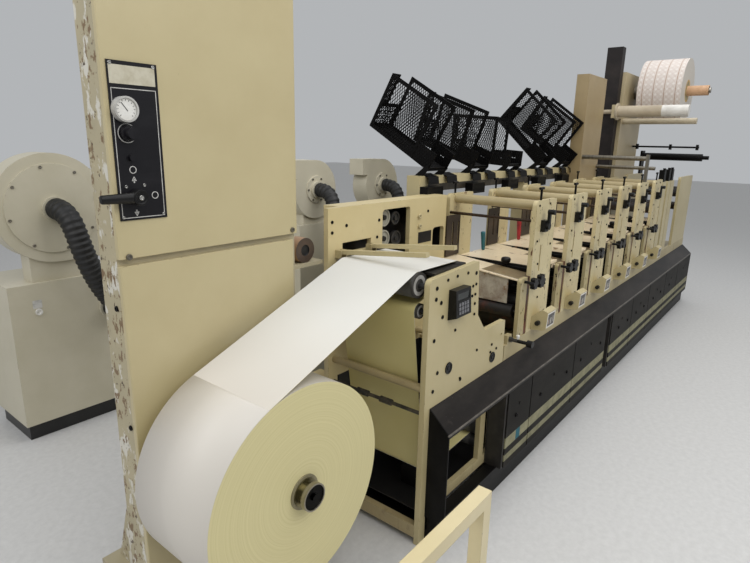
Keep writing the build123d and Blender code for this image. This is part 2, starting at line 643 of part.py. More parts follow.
    cap = [(SKIRT_FACE, KICK_HEIGHT), (SKIRT_FACE, LEDGE_LOW), (OPERATOR_FACE - 1, LEDGE_HIGH),
           (OPERATOR_FACE - 1, KICK_HEIGHT)]
    mirror_cap = [(2 * FRAME_MID - y, z) for y, z in cap]
    for points, end in ((cap, BASE_END), (mirror_cap, REAR_END)):
        folds.append(cross_profile(points, BASE_START - 6, BASE_START - 0.5))
        folds.append(cross_profile(points, end + 0.5, end + 6))
    save("ledge_folds", *folds)

    pump = along(BASE_START + 120, BASE_START + 320, -80, PUMP_Z, 46)
    pump = pump + along(BASE_START + 320, BASE_START + 362, -80, PUMP_Z, 34)
    pump = pump + box(BASE_START + 130, BASE_START + 310, -130, -30, KICK_HEIGHT + PAN_THICK,
                      PUMP_Z - 25)
    valve = box(post_x0 - 96, post_x0, OPERATOR_FACE + 4, OPERATOR_INNER - 2, 420, 500)
    valve = valve + along(post_x0 - 130, post_x0 - 96, (OPERATOR_FACE + OPERATOR_INNER) / 2, 462, 10)
    save("bay_pump", pump, valve)


# Print units
def unit_plate(y0, y1):
    half = UNIT_PLATE_WIDTH / 2
    plate = box(-half, half, y0, y1, RAIL_TOP, UNIT_TOP)
    plate = rounded(plate, [(-half, UNIT_TOP)], 28)
    plate = rounded(plate, [(half, UNIT_TOP)], 12)
    slot = box(-42, -26, y0 - 1, y1 + 1, 1043, 1190)
    slot = fillet(slot.edges().filter_by(Axis.Y), 7)
    plate = plate - slot
    plate = plate - rod(60, UNIT_TOP - 34, 6, y0 - 1, y1 + 1)
    return plate


def print_units():
    operator_plates = []
    gear_plates = []
    tubes = []
    shafts = []
    screws = []
    rollers = []
    hoods = []
    blocks = []
    knobs = []
    levers = []
    boxes = []
    op_plate = unit_plate(OPERATOR_FACE, OPERATOR_INNER)
    gear_plate = unit_plate(GEAR_INNER, GEAR_FACE)
    op = OPERATOR_INNER
    gear = GEAR_INNER
    screw = post(TUBE_X, OPERATOR_FACE + PLATE_THICK / 2, UNIT_TOP, SCREW_TOP, SCREW_R)
    screw = screw + along(TUBE_X - 22, TUBE_X + 22, OPERATOR_FACE + PLATE_THICK / 2, SCREW_TOP, 7)
    other_screw = Pos(0, gear - OPERATOR_FACE, 0) * screw
    impression = rod(20, IMPRESSION_Z, IMPRESSION_R, -WEB_WIDTH / 2 - 12, WEB_WIDTH / 2 + 12)
    impression = impression + rod(20, IMPRESSION_Z, 14, op, gear)
    plate_roller = rod(20, PLATE_ROLLER_Z, PLATE_ROLLER_R, -WEB_WIDTH / 2, WEB_WIDTH / 2)
    plate_roller = plate_roller + rod(20, PLATE_ROLLER_Z, 12, op, gear)
    anilox = rod(ANILOX_X, PLATE_ROLLER_Z, ANILOX_R, -WEB_WIDTH / 2, WEB_WIDTH / 2)
    anilox = anilox + rod(ANILOX_X, PLATE_ROLLER_Z, 12, op, gear)
    fountain = rod(FOUNTAIN_X, PLATE_ROLLER_Z - 40, FOUNTAIN_R, -WEB_WIDTH / 2, WEB_WIDTH / 2)
    fountain = fountain + rod(FOUNTAIN_X, PLATE_ROLLER_Z - 40, 10, op, gear)
    low_z = FRONT_BOARD_Z - FRONT_BOARD_THICK
    rise = FRONT_BOARD_RISE
    slope = rise / (gear - op)
    board = cross_profile([(op, low_z), (gear, low_z + rise),
                           (gear, low_z + rise + FRONT_BOARD_THICK), (op, FRONT_BOARD_Z)],
                          FRONT_BOARD_X0, FRONT_BOARD_X1)
    tray = cross_profile([(INK_PLATE_Y0, INK_PLATE_LOW), (INK_PLATE_Y1, INK_PLATE_LOW),
                          (INK_PLATE_Y1, low_z + slope * (INK_PLATE_Y1 - op)),
                          (INK_PLATE_Y0, low_z + slope * (INK_PLATE_Y0 - op))],
                         INK_PLATE_X, INK_PLATE_X + INK_PLATE_THICK)
    dryer = box(BACK_BOARD_X0, BACK_BOARD_X1, op, gear, BACK_BOARD_Z - BOARD_THICK, BACK_BOARD_Z)
    dryer = dryer + box(BACK_BOARD_X0 + 20, BACK_BOARD_X1 - 20, op + 14, gear - 14,
                        BACK_BOARD_Z - TRAY_DEPTH, BACK_BOARD_Z - BOARD_THICK)
    block = box(BLOCK_X0, -UNIT_PLATE_WIDTH / 2, OPERATOR_FACE + BLOCK_SINK, OPERATOR_INNER,
                RAIL_TOP, KNOB_ROW_Z + 20)
    block = rounded(block, [(BLOCK_X0, KNOB_ROW_Z + 20)], 18)
    block = block - rod(BLOCK_X0 + 30, RAIL_TOP + 130, 7, OPERATOR_FACE, OPERATOR_INNER + 1)
    block = block - rod(BLOCK_X0 + 30, RAIL_TOP + 250, 7, OPERATOR_FACE, OPERATOR_INNER + 1)
    far_block = Pos(0, GEAR_INNER - OPERATOR_FACE - BLOCK_SINK, 0) * block
    knob = rod(RIGHT_KNOB_X, KNOB_ROW_Z, 8, OPERATOR_FACE - 34, OPERATOR_FACE)
    knob = knob + star_knob(RIGHT_KNOB_X, KNOB_ROW_Z, RIGHT_KNOB_R, OPERATOR_FACE - 58,
                            OPERATOR_FACE - 34)
    knob_two = rod(LEFT_KNOB_X, KNOB_ROW_Z, 8, OPERATOR_FACE - 34, OPERATOR_FACE + BLOCK_SINK)
    knob_two = knob_two + star_knob(LEFT_KNOB_X, KNOB_ROW_Z, LEFT_KNOB_R, OPERATOR_FACE - 58,
                                    OPERATOR_FACE - 34)
    lever = box(-64, -16, OPERATOR_FACE - 26, OPERATOR_FACE, 1262, 1322)
    lever = lever + rod(-40, 1292, 19, OPERATOR_FACE - 40, OPERATOR_FACE - 26)
    lever = lever + box(-48, -28, OPERATOR_FACE - 40, OPERATOR_FACE - 26, 1292, 1362)
    grip = rod(-38, 1366, 13, OPERATOR_FACE - 62, OPERATOR_FACE - 26)
    lever = lever + grip
    indicator = cross_profile([(OPERATOR_FACE, 727), (OPERATOR_FACE, 800),
                               (OPERATOR_FACE - 60, 850), (OPERATOR_FACE - 90, 838),
                               (OPERATOR_FACE - 84, 745), (OPERATOR_FACE - 70, 735)], -74, 45)
    indicator = indicator + along(-96, -74, OPERATOR_FACE - 42, 775, 13)
    for k in range(PRINT_UNITS):
        move = Pos(unit_x(k), 0, 0)
        operator_plates.append(move * op_plate)
        gear_plates.append(move * gear_plate)
        tubes.append(move * rod(TUBE_X, TUBE_Z, TUBE_R, op, gear))
        shafts.append(move * rod(TIE_SHAFT_X, TIE_SHAFT_Z, TIE_SHAFT_R, op, gear))
        screws.append(move * screw)
        screws.append(move * other_screw)
        rollers.extend([move * impression, move * plate_roller, move * anilox, move * fountain])
        hoods.extend([move * (board + tray), move * dryer])
        blocks.append(move * block)
        if k > 0:
            blocks.append(move * far_block)
        knobs.extend([move * knob, move * knob_two])
        levers.append(move * lever)
        boxes.append(move * indicator)
    port = rod(SMALL_BLOWER_XS[1], PORT_Z, SMALL_HOSE / 2 + 6, GEAR_FACE, GEAR_FACE + PORT_LENGTH)
    gear_plates[0] = gear_plates[0] + port
    save("unit_plates", *operator_plates, *gear_plates)
    save("top_tubes", *tubes)
    save("tie_shafts", *shafts)
    save("clamp_screws", *screws)
    save("print_rollers", *rollers)
    save("unit_boards", *hoods)
    slotted = box(SLOT_PLATE_X0, SLOT_PLATE_X1, gear - SLOT_PLATE_THICK, gear, SLOT_PLATE_Z0,
                  SLOT_PLATE_Z1)
    slit = box(-42, -26, gear - 50, gear + 1, SLOT_PLATE_Z0 + 60, SLOT_PLATE_Z1 - 40)
    slotted = slotted - slit - Pos(-62, 0, 0) * slit
    save("slotted_plates", *[Pos(unit_x(k), 0, 0) * slotted for k in range(PRINT_UNITS)])
    save("slide_blocks", *blocks)
    save("unit_handles", *knobs, *levers)
    save("indicator_boxes", *boxes)


# Die section and outfeed
def die_section():
    plates = []
    tops = []
    bars = []
    for shift, width in ((0, 138), (205, 115), (340, 145)):
        x0 = DIE_START + shift
        x1 = x0 + width
        for y0, y1 in ((OPERATOR_FACE, OPERATOR_INNER), (GEAR_INNER, GEAR_FACE)):
            plate = box(x0, x1, y0, y1, RAIL_TOP, DIE_TOP)
            plates.append(rounded(plate, [(x0, DIE_TOP)], 16))
        head = box(x0 + 6, x0 + 72, OPERATOR_FACE, OPERATOR_INNER + 20, DIE_TOP, DIE_TOP + 104)
        cap = post(x0 + 39, (OPERATOR_FACE + OPERATOR_INNER) / 2, DIE_TOP + 104, DIE_TOP + 120, 12)
        tops.append(head + cap)
        bar = rod(x0 + 100, DIE_TOP - 40, 20, OPERATOR_INNER, GEAR_INNER)
        bars.append(bar)
    end = []
    x1 = BASE_END - 23
    for y0, y1 in ((OPERATOR_FACE, OPERATOR_INNER), (GEAR_INNER, GEAR_FACE)):
        plate = box(END_PLATE_START, x1, y0, y1, RAIL_TOP, END_TOP)
        end.append(rounded(plate, [(END_PLATE_START, END_TOP), (x1, END_TOP)], 20))
    dies = []
    for shift in (70, 262, 412):
        dies.append(rod(DIE_START + shift, 930, 55, OPERATOR_INNER, GEAR_INNER))
        dies.append(rod(DIE_START + shift, 1150, 45, OPERATOR_INNER, GEAR_INNER))
    for shift, z in ((100, 1250), (300, 1100), (500, 1250)):
        dies.append(rod(END_PLATE_START + shift, z, 40, OPERATOR_INNER, GEAR_INNER))
    save("end_section_plates", *plates, *end)
    save("die_pressure_heads", *tops)
    save("die_bars", *bars)
    save("die_rollers", *dies)


# Rewind tower, spindles and turn bars
def rewind_parts():
    y0 = GEAR_FACE
    y1 = y0 + COLUMN_DEPTH
    cabinet = box(CABINET_START, CABINET_START + CABINET_WIDTH, y0, BEAM_Y, 0, CABINET_HEIGHT)
    save("rewind_cabinet", cabinet)
    tower = box(TOWER_START, TOWER_START + COLUMN_WIDTH, y0, y1, 0, TOWER_HEIGHT)
    arm = box(WASTE_X - 70, TOWER_START, y0, y0 + ARM_THICK, WASTE_Z - 60, WASTE_Z + 60)
    save("rewind_tower", tower + arm)
    dark_y = y0 + ARM_THICK + 2
    dark = box(TOWER_START - DARK_POST_WIDTH, TOWER_START, dark_y, dark_y + DARK_POST_DEPTH,
               0, DARK_POST_HEIGHT)
    save("rewind_dark_post", dark)
    near = -WEB_WIDTH / 2
    shaft = rod(REWIND_X, REWIND_Z, REWIND_SHAFT_R, -395, y0 - 1)
    collar = rod(REWIND_X, REWIND_Z, REWIND_CORE_R - SHAFT_GAP, near - 180, WEB_WIDTH / 2)
    save("rewind_spindle", shaft + collar)
    roll = rod(REWIND_X, REWIND_Z, REWIND_ROLL_R, near, WEB_WIDTH / 2)
    roll = roll + rod(REWIND_X, REWIND_Z, REWIND_CORE_R + REWIND_CORE_WALL, near - 185, near)
    roll = roll - rod(REWIND_X, REWIND_Z, REWIND_CORE_R, -500, 500)
    save("rewind_roll", roll)
    waste = rod(WASTE_X, WASTE_Z, 52, -337, y0)
    waste = waste + rod(WASTE_X, WASTE_Z, 78, y0 - 14, y0)
    stub = rod(WASTE_X, WASTE_Z, 20, y0 + ARM_THICK, y0 + 230)
    stub = stub + star_knob(WASTE_X, WASTE_Z, HANDWHEEL_R, y0 + 230, y0 + 250)
    lower = rod(LOWER_WASTE_X, LOWER_WASTE_Z, 28, -370, y0)
    save("waste_mandrels", waste, stub, lower)
    bar = rod(TURN_BAR_X, TURN_BAR_Z, 18, OPERATOR_INNER, y0)
    leg = box(TURN_BAR_X - 15, TURN_BAR_X + 15, OPERATOR_FACE + 2, OPERATOR_INNER, UNIT_TOP,
              TURN_BAR_Z + 32)
    chrome = rod(CHROME_BAR_X, CHROME_BAR_Z, CHROME_BAR_R, OPERATOR_INNER + 10, y0)
    save("turn_bars", bar + leg, chrome)
    thin = rod(THIN_SHAFT_X, THIN_SHAFT_Z, 9, -350, y0)
    for y in (y0 - 60, -100, -345):
        thin = thin + star_knob(THIN_SHAFT_X, THIN_SHAFT_Z, 30, y, y + 22)
    bracket = box(DARK_ROLLER_X - 60, DARK_ROLLER_X + 60, GEAR_INNER + 2, GEAR_FACE - 2, END_TOP,
                  DARK_ROLLER_Z + 60)
    dark_roller = rod(DARK_ROLLER_X, DARK_ROLLER_Z, 38, -330, GEAR_INNER + 2)
    dark_roller = dark_roller + rod(DARK_ROLLER_X, DARK_ROLLER_Z, 20, -390, -330)
    save("rewind_shafts", thin, bracket + dark_roller)


# Rear beam on posts, with the hinge lugs of the guards
def guard_x(index):
    return unit_x(index) + GUARD_SHIFT


def rear_beam():
    x1 = BEAM_END
    beam = box(BEAM_START, x1, BEAM_Y, BEAM_Y + BEAM_SIZE, BEAM_TOP - BEAM_SIZE, BEAM_TOP)
    for x in (BEAM_START, 1150, x1 - 70):
        beam = beam + box(x, x + 70, BEAM_Y, BEAM_Y + BEAM_SIZE, 0, BEAM_TOP - BEAM_SIZE)
    save("rear_beam", beam)
    lugs = []
    for k in range(GUARD_COUNT):
        for x in (guard_x(k) - 8, guard_x(k) + GUARD_WIDTH + 2):
            lug = cross_profile([(BEAM_Y + 4, BEAM_TOP), (BEAM_Y + 60, BEAM_TOP),
                                 (HINGE_Y + 10, HINGE_Z + 10), (HINGE_Y - 10, HINGE_Z + 10),
                                 (HINGE_Y - 10, HINGE_Z - 10)], x, x + 6)
            lugs.append(lug)
    pins = []
    for k in range(GUARD_COUNT):
        pin = along(guard_x(k) - 8, guard_x(k) + GUARD_WIDTH + 8, HINGE_Y, HINGE_Z, HINGE_R)
        pins.append(lugs[2 * k] + lugs[2 * k + 1] + pin)
    save("guard_lugs", *pins)


def guards():
    """Guard cages, modelled shut over the unit and then swung up and back."""
    back = HINGE_Y + 12
    top = HINGE_Z + 12
    front = back - GUARD_REACH
    bottom = top - GUARD_DROP
    side_outline = [(back, top), (front, top), (front, bottom), (back - GUARD_NOTCH, bottom),
                    (back - GUARD_NOTCH, top - GUARD_STRIP), (back, top - GUARD_STRIP)]
    for k in range(GUARD_COUNT):
        x0 = guard_x(k)
        x1 = x0 + GUARD_WIDTH
        t = GUARD_SHEET
        cage = cross_profile(side_outline, x0, x0 + t)
        cage = cage + cross_profile(side_outline, x1 - t, x1)
        cage = cage + box(x0, x1, front, back, top - t, top)
        shaft_side = unit_x(k) + TIE_SHAFT_X - TIE_SHAFT_R - MOVING_GAP
        cage = cage + box(x0, shaft_side, front, front + t, bottom, top)
        over_tube = TUBE_Z + TUBE_R + MOVING_GAP
        cage = cage + box(x0, x1, front, front + t, over_tube, top)
        cage = cage - along(x0 - 1, x1 + 1, HINGE_Y, HINGE_Z, HINGE_R + RUNNING_GAP)
        swing = Pos(0, HINGE_Y, HINGE_Z) * Rot(GUARD_LIFTS[k] - 180, 0, 0)
        swing = swing * Pos(0, -HINGE_Y, -HINGE_Z)
        save(f"guard_{k + 1}", swing * cage)


# Rail that fences the front of the press
def fence_rail():
    size = 48
    y1 = -640
    x0 = COLUMN_START - 60
    x1 = -1350
    rail = box(x0, x1, y1 - size, y1, 560, 560 + size)
    for x in (x0, x1 - size):
        rail = rail + box(x, x + size, y1 - size, y1, 6, 560)
        rail = rail + box(x - 30, x + size + 30, y1 - size - 30, y1 + 30, 0, 6)
    save("fence_rail", rail)


# Dryer blowers behind the press
def scroll_blower(x, y, z, r, width, cover_r, hose, side, seat):
    """Round casing that faces the operator: cover, inlet collar, tangent outlet and foot."""
    case = rod(x, z, r, y, y + width)
    mouth = x + side * 1.2 * r
    edge = z - side * r
    low = min(edge, edge + side * 0.6 * r)
    case = case + box(min(x, mouth), max(x, mouth), y, y + width, low, low + 0.6 * r)
    cover = rod(x, z, cover_r, y - 8, y)
    inlet = rod(x, z, hose / 2 + 7, y - 8 - HOSE_COLLAR, y - 8)
    foot = box(x - 0.5 * r, x + 0.5 * r, y + 20, y + width - 20, seat, z - 0.8 * r)
    return case + cover + inlet + foot


def blowers():
    y = LARGE_BLOWER_Y - 8
    cabinet = box(-1850, -1240, y, y + 450, BLOWER_CABINET_FOOT, BLOWER_CABINET_TOP)
    cabinet = cabinet + box(-1830, -1260, y + 30, y + 420, 0, BLOWER_CABINET_FOOT)
    cabinet = cabinet + rod(LARGE_PORT_X, LARGE_PORT_Z, LARGE_HOSE / 2 + 8, y - PORT_LENGTH, y)
    stands = [cabinet]
    large = scroll_blower(LARGE_BLOWER_X, LARGE_BLOWER_Y, LARGE_BLOWER_Z, LARGE_BLOWER_R, 160,
                          LARGE_COVER_R, LARGE_HOSE, 1, BLOWER_CABINET_TOP)
    all_blowers = [large]
    for x in SMALL_BLOWER_XS:
        stands.append(box(x - 130, x + 130, SMALL_BLOWER_Y, SMALL_BLOWER_Y + 240, 0, STAND_TOP))
        all_blowers.append(scroll_blower(x, SMALL_BLOWER_Y, SMALL_BLOWER_Z, SMALL_BLOWER_R, 110,
                                         SMALL_COVER_R, SMALL_HOSE, -1, STAND_TOP))
    save("blower_stands", *stands)
    save("blowers", *all_blowers)


def hose(name, route, diameter):
    """A hose of straight runs joined by arcs, each as large as its runs allow."""
    radii = []
    for before, corner, after in zip(route[:-2], route[1:-1], route[2:]):
        first = Vector(*corner) - Vector(*before)
        second = Vector(*after) - Vector(*corner)
        half_turn = math.radians(first.get_angle(second)) / 2
        radii.append(0.45 * min(first.length, second.length) / math.tan(half_turn))
    path = FilletPolyline(*route, radius=radii)
    section = Plane(origin=path @ 0, z_dir=path % 0) * Circle(diameter / 2)
    tube = sweep(section, path=path)
    share = tube.volume / (math.pi * diameter ** 2 / 4 * path.length)
    print(name, "length", round(path.length), "volume share", round(share, 3),
          "radii", [round(r) for r in radii])
    save(name, tube)


# Each route runs from the blower's inlet collar to the port that takes the air
LARGE_ROUTE = [(-1565, 1886, 1311), (-1565, 1808, 1311), (-1550, 1748, 1260), (-1536, 1722, 1170),
               (-1512, 1712, 1060), (-1474, 1718, 950), (-1424, 1730, 850), (-1384, 1728, 785),
               (-1346, 1752, 722), (-1320, 1812, 700), (-1320, 1880, 700)]
SMALL_ROUTE = [(-589, 836, 1433), (-589, 776, 1433), (-594, 728, 1390), (-600, 706, 1322),
               (-604, 694, 1232), (-603, 656, 1148), (-598, 594, 1084), (-592, 510, 1056),
               (-589, 440, 1050), (-589, 384.5, 1050)]


def hoses():
    hose("large_blower_hose", LARGE_ROUTE, LARGE_HOSE)
    hose("small_blower_hose", SMALL_ROUTE, SMALL_HOSE)
    shift = SMALL_BLOWER_XS[1] - SMALL_BLOWER_XS[0]
    far_end = GEAR_FACE + PORT_LENGTH
    route = [(x + shift, y, z) for x, y, z in SMALL_ROUTE[:-2]]
    route = route + [(16, 400, 1050), (16, far_end, 1050)]
    hose("unit_blower_hose", route, SMALL_HOSE)


unwind_stand()
control_panel()
unwind_reel()
infeed_frame()
gear_housing()
infeed_parts()
web_sheet()
splice_clamps()
base_parts()
print_units()
die_section()
rewind_parts()
rear_beam()
guards()
fence_rail()
blowers()
hoses()
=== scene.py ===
# %% [markdown]
# A narrow-web label press, dressed for a render.
# The steel shapes come packed from the CAD side and stay exactly where they are. This script
# gives each of them a finish, and adds what a fitter would put on afterwards: expanded metal,
# screws, keys, dials, latches and hoses. Lengths are in metres unless a name says mm.

import json
import math

import bpy
from mathutils import Matrix, Vector


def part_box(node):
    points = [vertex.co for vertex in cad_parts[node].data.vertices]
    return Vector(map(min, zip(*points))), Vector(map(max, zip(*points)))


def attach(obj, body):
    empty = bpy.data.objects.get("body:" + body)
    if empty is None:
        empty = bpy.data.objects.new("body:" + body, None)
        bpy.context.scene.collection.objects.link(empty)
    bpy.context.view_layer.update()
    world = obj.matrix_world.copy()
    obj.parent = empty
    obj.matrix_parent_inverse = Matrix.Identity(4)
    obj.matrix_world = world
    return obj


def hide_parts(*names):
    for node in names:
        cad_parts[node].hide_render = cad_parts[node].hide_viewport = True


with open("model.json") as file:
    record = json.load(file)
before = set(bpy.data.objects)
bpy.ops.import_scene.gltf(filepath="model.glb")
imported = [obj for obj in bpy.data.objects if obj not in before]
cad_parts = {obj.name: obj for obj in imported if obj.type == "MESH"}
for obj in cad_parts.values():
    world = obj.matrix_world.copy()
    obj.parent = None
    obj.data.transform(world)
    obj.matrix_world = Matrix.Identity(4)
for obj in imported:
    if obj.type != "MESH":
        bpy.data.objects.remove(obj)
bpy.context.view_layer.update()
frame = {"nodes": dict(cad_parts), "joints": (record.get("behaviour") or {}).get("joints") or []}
nodes = frame["nodes"]
hinges = {joint["name"]: joint for joint in frame["joints"]}
print("nodes loaded:", len(nodes), "joints:", len(hinges))

# %% [markdown]
# Every colour here is picked as an sRGB hex value, the way paint charts print them. Shaders
# work in linear light, so one function turns the hex value into linear numbers.
# Shader nodes could be set up one call at a time. One small function that adds any node, sets it
# up and links it keeps the material cells short, and they read in the order of the layers.


# %% Two helpers for materials
def linear(hex_colour):
    """Turns an sRGB hex colour into linear red, green, blue and alpha."""
    values = []
    for k in (0, 2, 4):
        c = int(hex_colour.lstrip("#")[k:k + 2], 16) / 255
        values.append(c / 12.92 if c <= 0.04045 else ((c + 0.055) / 1.055) ** 2.4)
    return (*values, 1.0)


def add(mat, kind, inputs=None, out=0, **settings):
    """Adds one node and gives back the chosen output socket."""
    new = mat.node_tree.nodes.new(kind)
    for key, value in settings.items():
        setattr(new, key, value)
    for socket, value in (inputs or {}).items():
        if isinstance(value, bpy.types.NodeSocket):
            mat.node_tree.links.new(value, new.inputs[socket])
        else:
            new.inputs[socket].default_value = value
    return new.outputs[out]


def start_material(name, roughness=0.5, metallic=0.0):
    """Starts a material, and gives it back with its shader and the piece's own place."""
    mat = bpy.data.materials.new(name)
    mat.use_nodes = True
    shader = mat.node_tree.nodes["Principled BSDF"]
    shader.inputs["Roughness"].default_value = roughness
    shader.inputs["Metallic"].default_value = metallic
    place = add(mat, "ShaderNodeTexCoord", out="Object")
    return mat, shader, place


print("cream paint in linear light:", [round(v, 3) for v in linear("#C2B48C")])

# %% [markdown]
# Old machines are never one even colour. Dirt lies in blotches of a certain size, so a stain is
# a noise whose scale comes from that size in millimetres, cut off at a low and a high level and
# laid over what is below. Stains could be painted into an image, but noise needs no unwrapping
# and never repeats. The same step serves for ink, rust, dust and chips.


# %% Stains and relief
def stain(mat, base, place, colour, size_mm, low, high, stretch=(1, 1, 1), detail=6.0):
    """Lays a colour over the base in blotches of about the given size."""
    moved = add(mat, "ShaderNodeMapping", {"Vector": place, "Scale": stretch})
    noise = add(mat, "ShaderNodeTexNoise", {"Vector": moved, "Scale": 1000 / size_mm,
                                            "Detail": detail, "Roughness": 0.62})
    amount = add(mat, "ShaderNodeMapRange", {"Value": noise, "From Min": low, "From Max": high})
    return add(mat, "ShaderNodeMix", {"Factor": amount, "A": base, "B": linear(colour)}, out=2,
               data_type="RGBA")


def bumps(mat, shader, place, size_mm, strength, depth_mm, normal=None):
    """Gives a surface its fine relief."""
    noise = add(mat, "ShaderNodeTexNoise", {"Vector": place, "Scale": 1000 / size_mm,
                                            "Detail": 2.0})
    inputs = {"Height": noise, "Strength": strength, "Distance": depth_mm / 1000}
    if normal:
        inputs["Normal"] = normal
    relief = add(mat, "ShaderNodeBump", inputs)
    mat.node_tree.links.new(relief, shader.inputs["Normal"])


# %% [markdown]
# The stands, side plates and housings are sheet and plate steel, sprayed with cream machine
# enamel decades ago. Sprayed enamel is smooth with a slight orange peel. Years of oil and hands
# give it yellow-brown clouds and thin runs downwards, and its corners are rubbed and chipped.
# The rubbed corners could be painted on each piece by hand. Here a bevelled normal is compared
# with the true one. The two differ only along an edge, so the mask finds every corner by itself.


# %% Cream enamel, from fresh to grimy
RUB_MM = 22.2  # rubbed places follow the corners in bits about this long
PEEL_MM = 3.0  # real orange peel is about 1 mm, too fine to show, so it is drawn coarser


def enamel(name, colour, shade, grime, dirt, roughness, chips=0.0):
    """Dirt goes from -0.1, wiped, to 0.2, filthy. Chips widens the rubbed corners."""
    mat, shader, place = start_material(name, roughness)
    # Wide clouds of yellowing, then blotches of oil, thin runs and small dark specks.
    base = stain(mat, linear(colour), place, shade, 380, 0.35, 0.72)
    base = stain(mat, base, place, grime, 110, 0.74 - dirt, 0.95 - 0.5 * dirt)
    base = stain(mat, base, place, grime, 40, 0.78 - dirt, 1.0, stretch=(1, 1, 0.07), detail=3.0)
    base = stain(mat, base, place, "#4A3A28", 9, 0.80 - dirt * 0.35, 0.82 - dirt * 0.35, detail=2)
    # Rubbed corners: where the bevelled normal leaves the true one, broken up by a noise.
    soft = add(mat, "ShaderNodeBevel", {"Radius": 0.003}, samples=4)
    true = add(mat, "ShaderNodeNewGeometry", out="Normal")
    same = add(mat, "ShaderNodeVectorMath", {0: soft, 1: true}, out="Value",
               operation="DOT_PRODUCT")
    rub = add(mat, "ShaderNodeTexNoise", {"Vector": place, "Scale": 1000 / RUB_MM, "Detail": 5.0})
    edge = add(mat, "ShaderNodeMapRange", {"Value": same, "From Min": 0.985, "From Max": 0.90})
    worn = add(mat, "ShaderNodeMapRange", {"Value": rub, "From Min": 0.56 - chips,
                                           "From Max": 0.66 - chips})
    both = add(mat, "ShaderNodeMath", {0: edge, 1: worn}, operation="MULTIPLY")
    base = add(mat, "ShaderNodeMix", {"Factor": both, "A": base, "B": linear("#6E5A3C")}, out=2,
               data_type="RGBA")
    mat.node_tree.links.new(base, shader.inputs["Base Color"])
    bumps(mat, shader, place, PEEL_MM, 0.08, 1.0, soft)
    shader.inputs["Coat Weight"].default_value = 0.2
    shader.inputs["Coat Roughness"].default_value = 0.3
    return mat


AGED_CREAM = ("#BEB087", "#B2A479", "#8E7A50", 0.05, 0.42)
# Satin and warm: a soft, wide highlight with clouds of old oil in it.
cream_enamel = enamel("Cream_enamel", *AGED_CREAM)
# The bolted covers are wiped more often, so they are cleaner and reflect a little more.
cover_enamel = enamel("Cream_enamel_cover", "#C0B38B", "#B8AA82", "#A08D62", -0.03, 0.36)
# The slide blocks sit next to the ink: browner, duller and worn at every corner.
grimy_enamel = enamel("Cream_enamel_grimy", "#B9AB82", "#A39469", "#6B5636", 0.12, 0.5, 0.06)
# The blowers are bought-in units in a colder, greyer cream.
grey_enamel = enamel("Grey_cream_enamel", "#C8C1AC", "#BBB49C", "#958B70", 0.02, 0.45)
print("enamels:", [mat.name for mat in (cream_enamel, cover_enamel, grimy_enamel, grey_enamel)])

# %% [markdown]
# The narrow end of the unwind stand takes every knock when a roll is loaded, so its paint is
# chipped down to the primer and the steel. The chips could be modelled, but they are thinner
# than the paint. So it is the same enamel with large torn blotches of grey and brown over it,
# on the faces that look that way only.


# %% Knocked end of the stand
def knocked_enamel():
    mat, shader, place = start_material("Cream_enamel_knocked", 0.55)
    base = stain(mat, linear("#B3A88A"), place, "#A39A80", 200, 0.35, 0.7)
    # Pale primer, brown rust round it, and the darkest spots of bare steel.
    torn = stain(mat, base, place, "#CFCBBF", 60, 0.55, 0.57, stretch=(1, 1, 0.5))
    torn = stain(mat, torn, place, "#7A6448", 36, 0.57, 0.585, stretch=(1, 1, 0.6))
    torn = stain(mat, torn, place, "#4B3B2C", 22, 0.64, 0.66)
    # The end faces look along -X; 0.8 leaves their rounded edges painted.
    normal = add(mat, "ShaderNodeNewGeometry", out="Normal")
    turned = add(mat, "ShaderNodeVectorMath", {0: normal, 1: (-1.0, 0.0, 0.0)}, out="Value",
                 operation="DOT_PRODUCT")
    is_end = add(mat, "ShaderNodeMath", {0: turned, 1: 0.8}, operation="GREATER_THAN")
    base = add(mat, "ShaderNodeMix", {"Factor": is_end, "A": base, "B": torn}, out=2,
               data_type="RGBA")
    mat.node_tree.links.new(base, shader.inputs["Base Color"])
    bumps(mat, shader, place, 14.0, 0.25, 1.5)
    return mat


# Matt bare patches beside satin paint, with a lumpy edge where coats have built up.
end_enamel = knocked_enamel()
print("knocked end made:", end_enamel.name)

# %% [markdown]
# The base is clad in folded sheet, painted charcoal. Dust, shoe scuffs and wiped oil leave pale
# grey-brown smears on it. Flat charcoal alone would look lit from inside, because its highlight
# is as strong as that of pale paint. So the shine is turned down, and the smears are three
# stains: wide clouds, small specks and thin runs.


# %% Charcoal, black paint and black plastic
def dusty_paint(name, colour, dust, roughness, level, shine=0.3):
    """The lower the level, the more of the paint is under dust."""
    mat, shader, place = start_material(name, roughness)
    # Smeared clouds of dust, specks of it, and thin runs.
    base = stain(mat, linear(colour), place, dust, 260, level, level + 0.5,
                 stretch=(0.6, 1.2, 2.2), detail=9.0)
    base = stain(mat, base, place, dust, 12, 0.72, 0.75, detail=2.0)
    base = stain(mat, base, place, dust, 60, 0.66, 0.9, stretch=(1, 1, 0.1), detail=3.0)
    mat.node_tree.links.new(base, shader.inputs["Base Color"])
    bumps(mat, shader, place, 2.4, 0.1, 1.0)
    shader.inputs["Specular IOR Level"].default_value = shine
    return mat


# Flat charcoal on folded sheet: smears show on it, highlights hardly do.
charcoal_paint = dusty_paint("Charcoal_paint", "#1C1A17", "#34302C", 0.5, 0.44, 0.06)
# The same paint where sleeves rub the ledge: a shade lighter and smoother.
ledge_paint = dusty_paint("Charcoal_paint_ledge", "#211E1C", "#3F3A36", 0.42, 0.38, 0.12)
# Thin black paint on bars, lugs and guards: dark, with a narrow weak highlight.
black_paint = dusty_paint("Black_paint", "#0A0909", "#1F1D1C", 0.45, 0.5, 0.14)
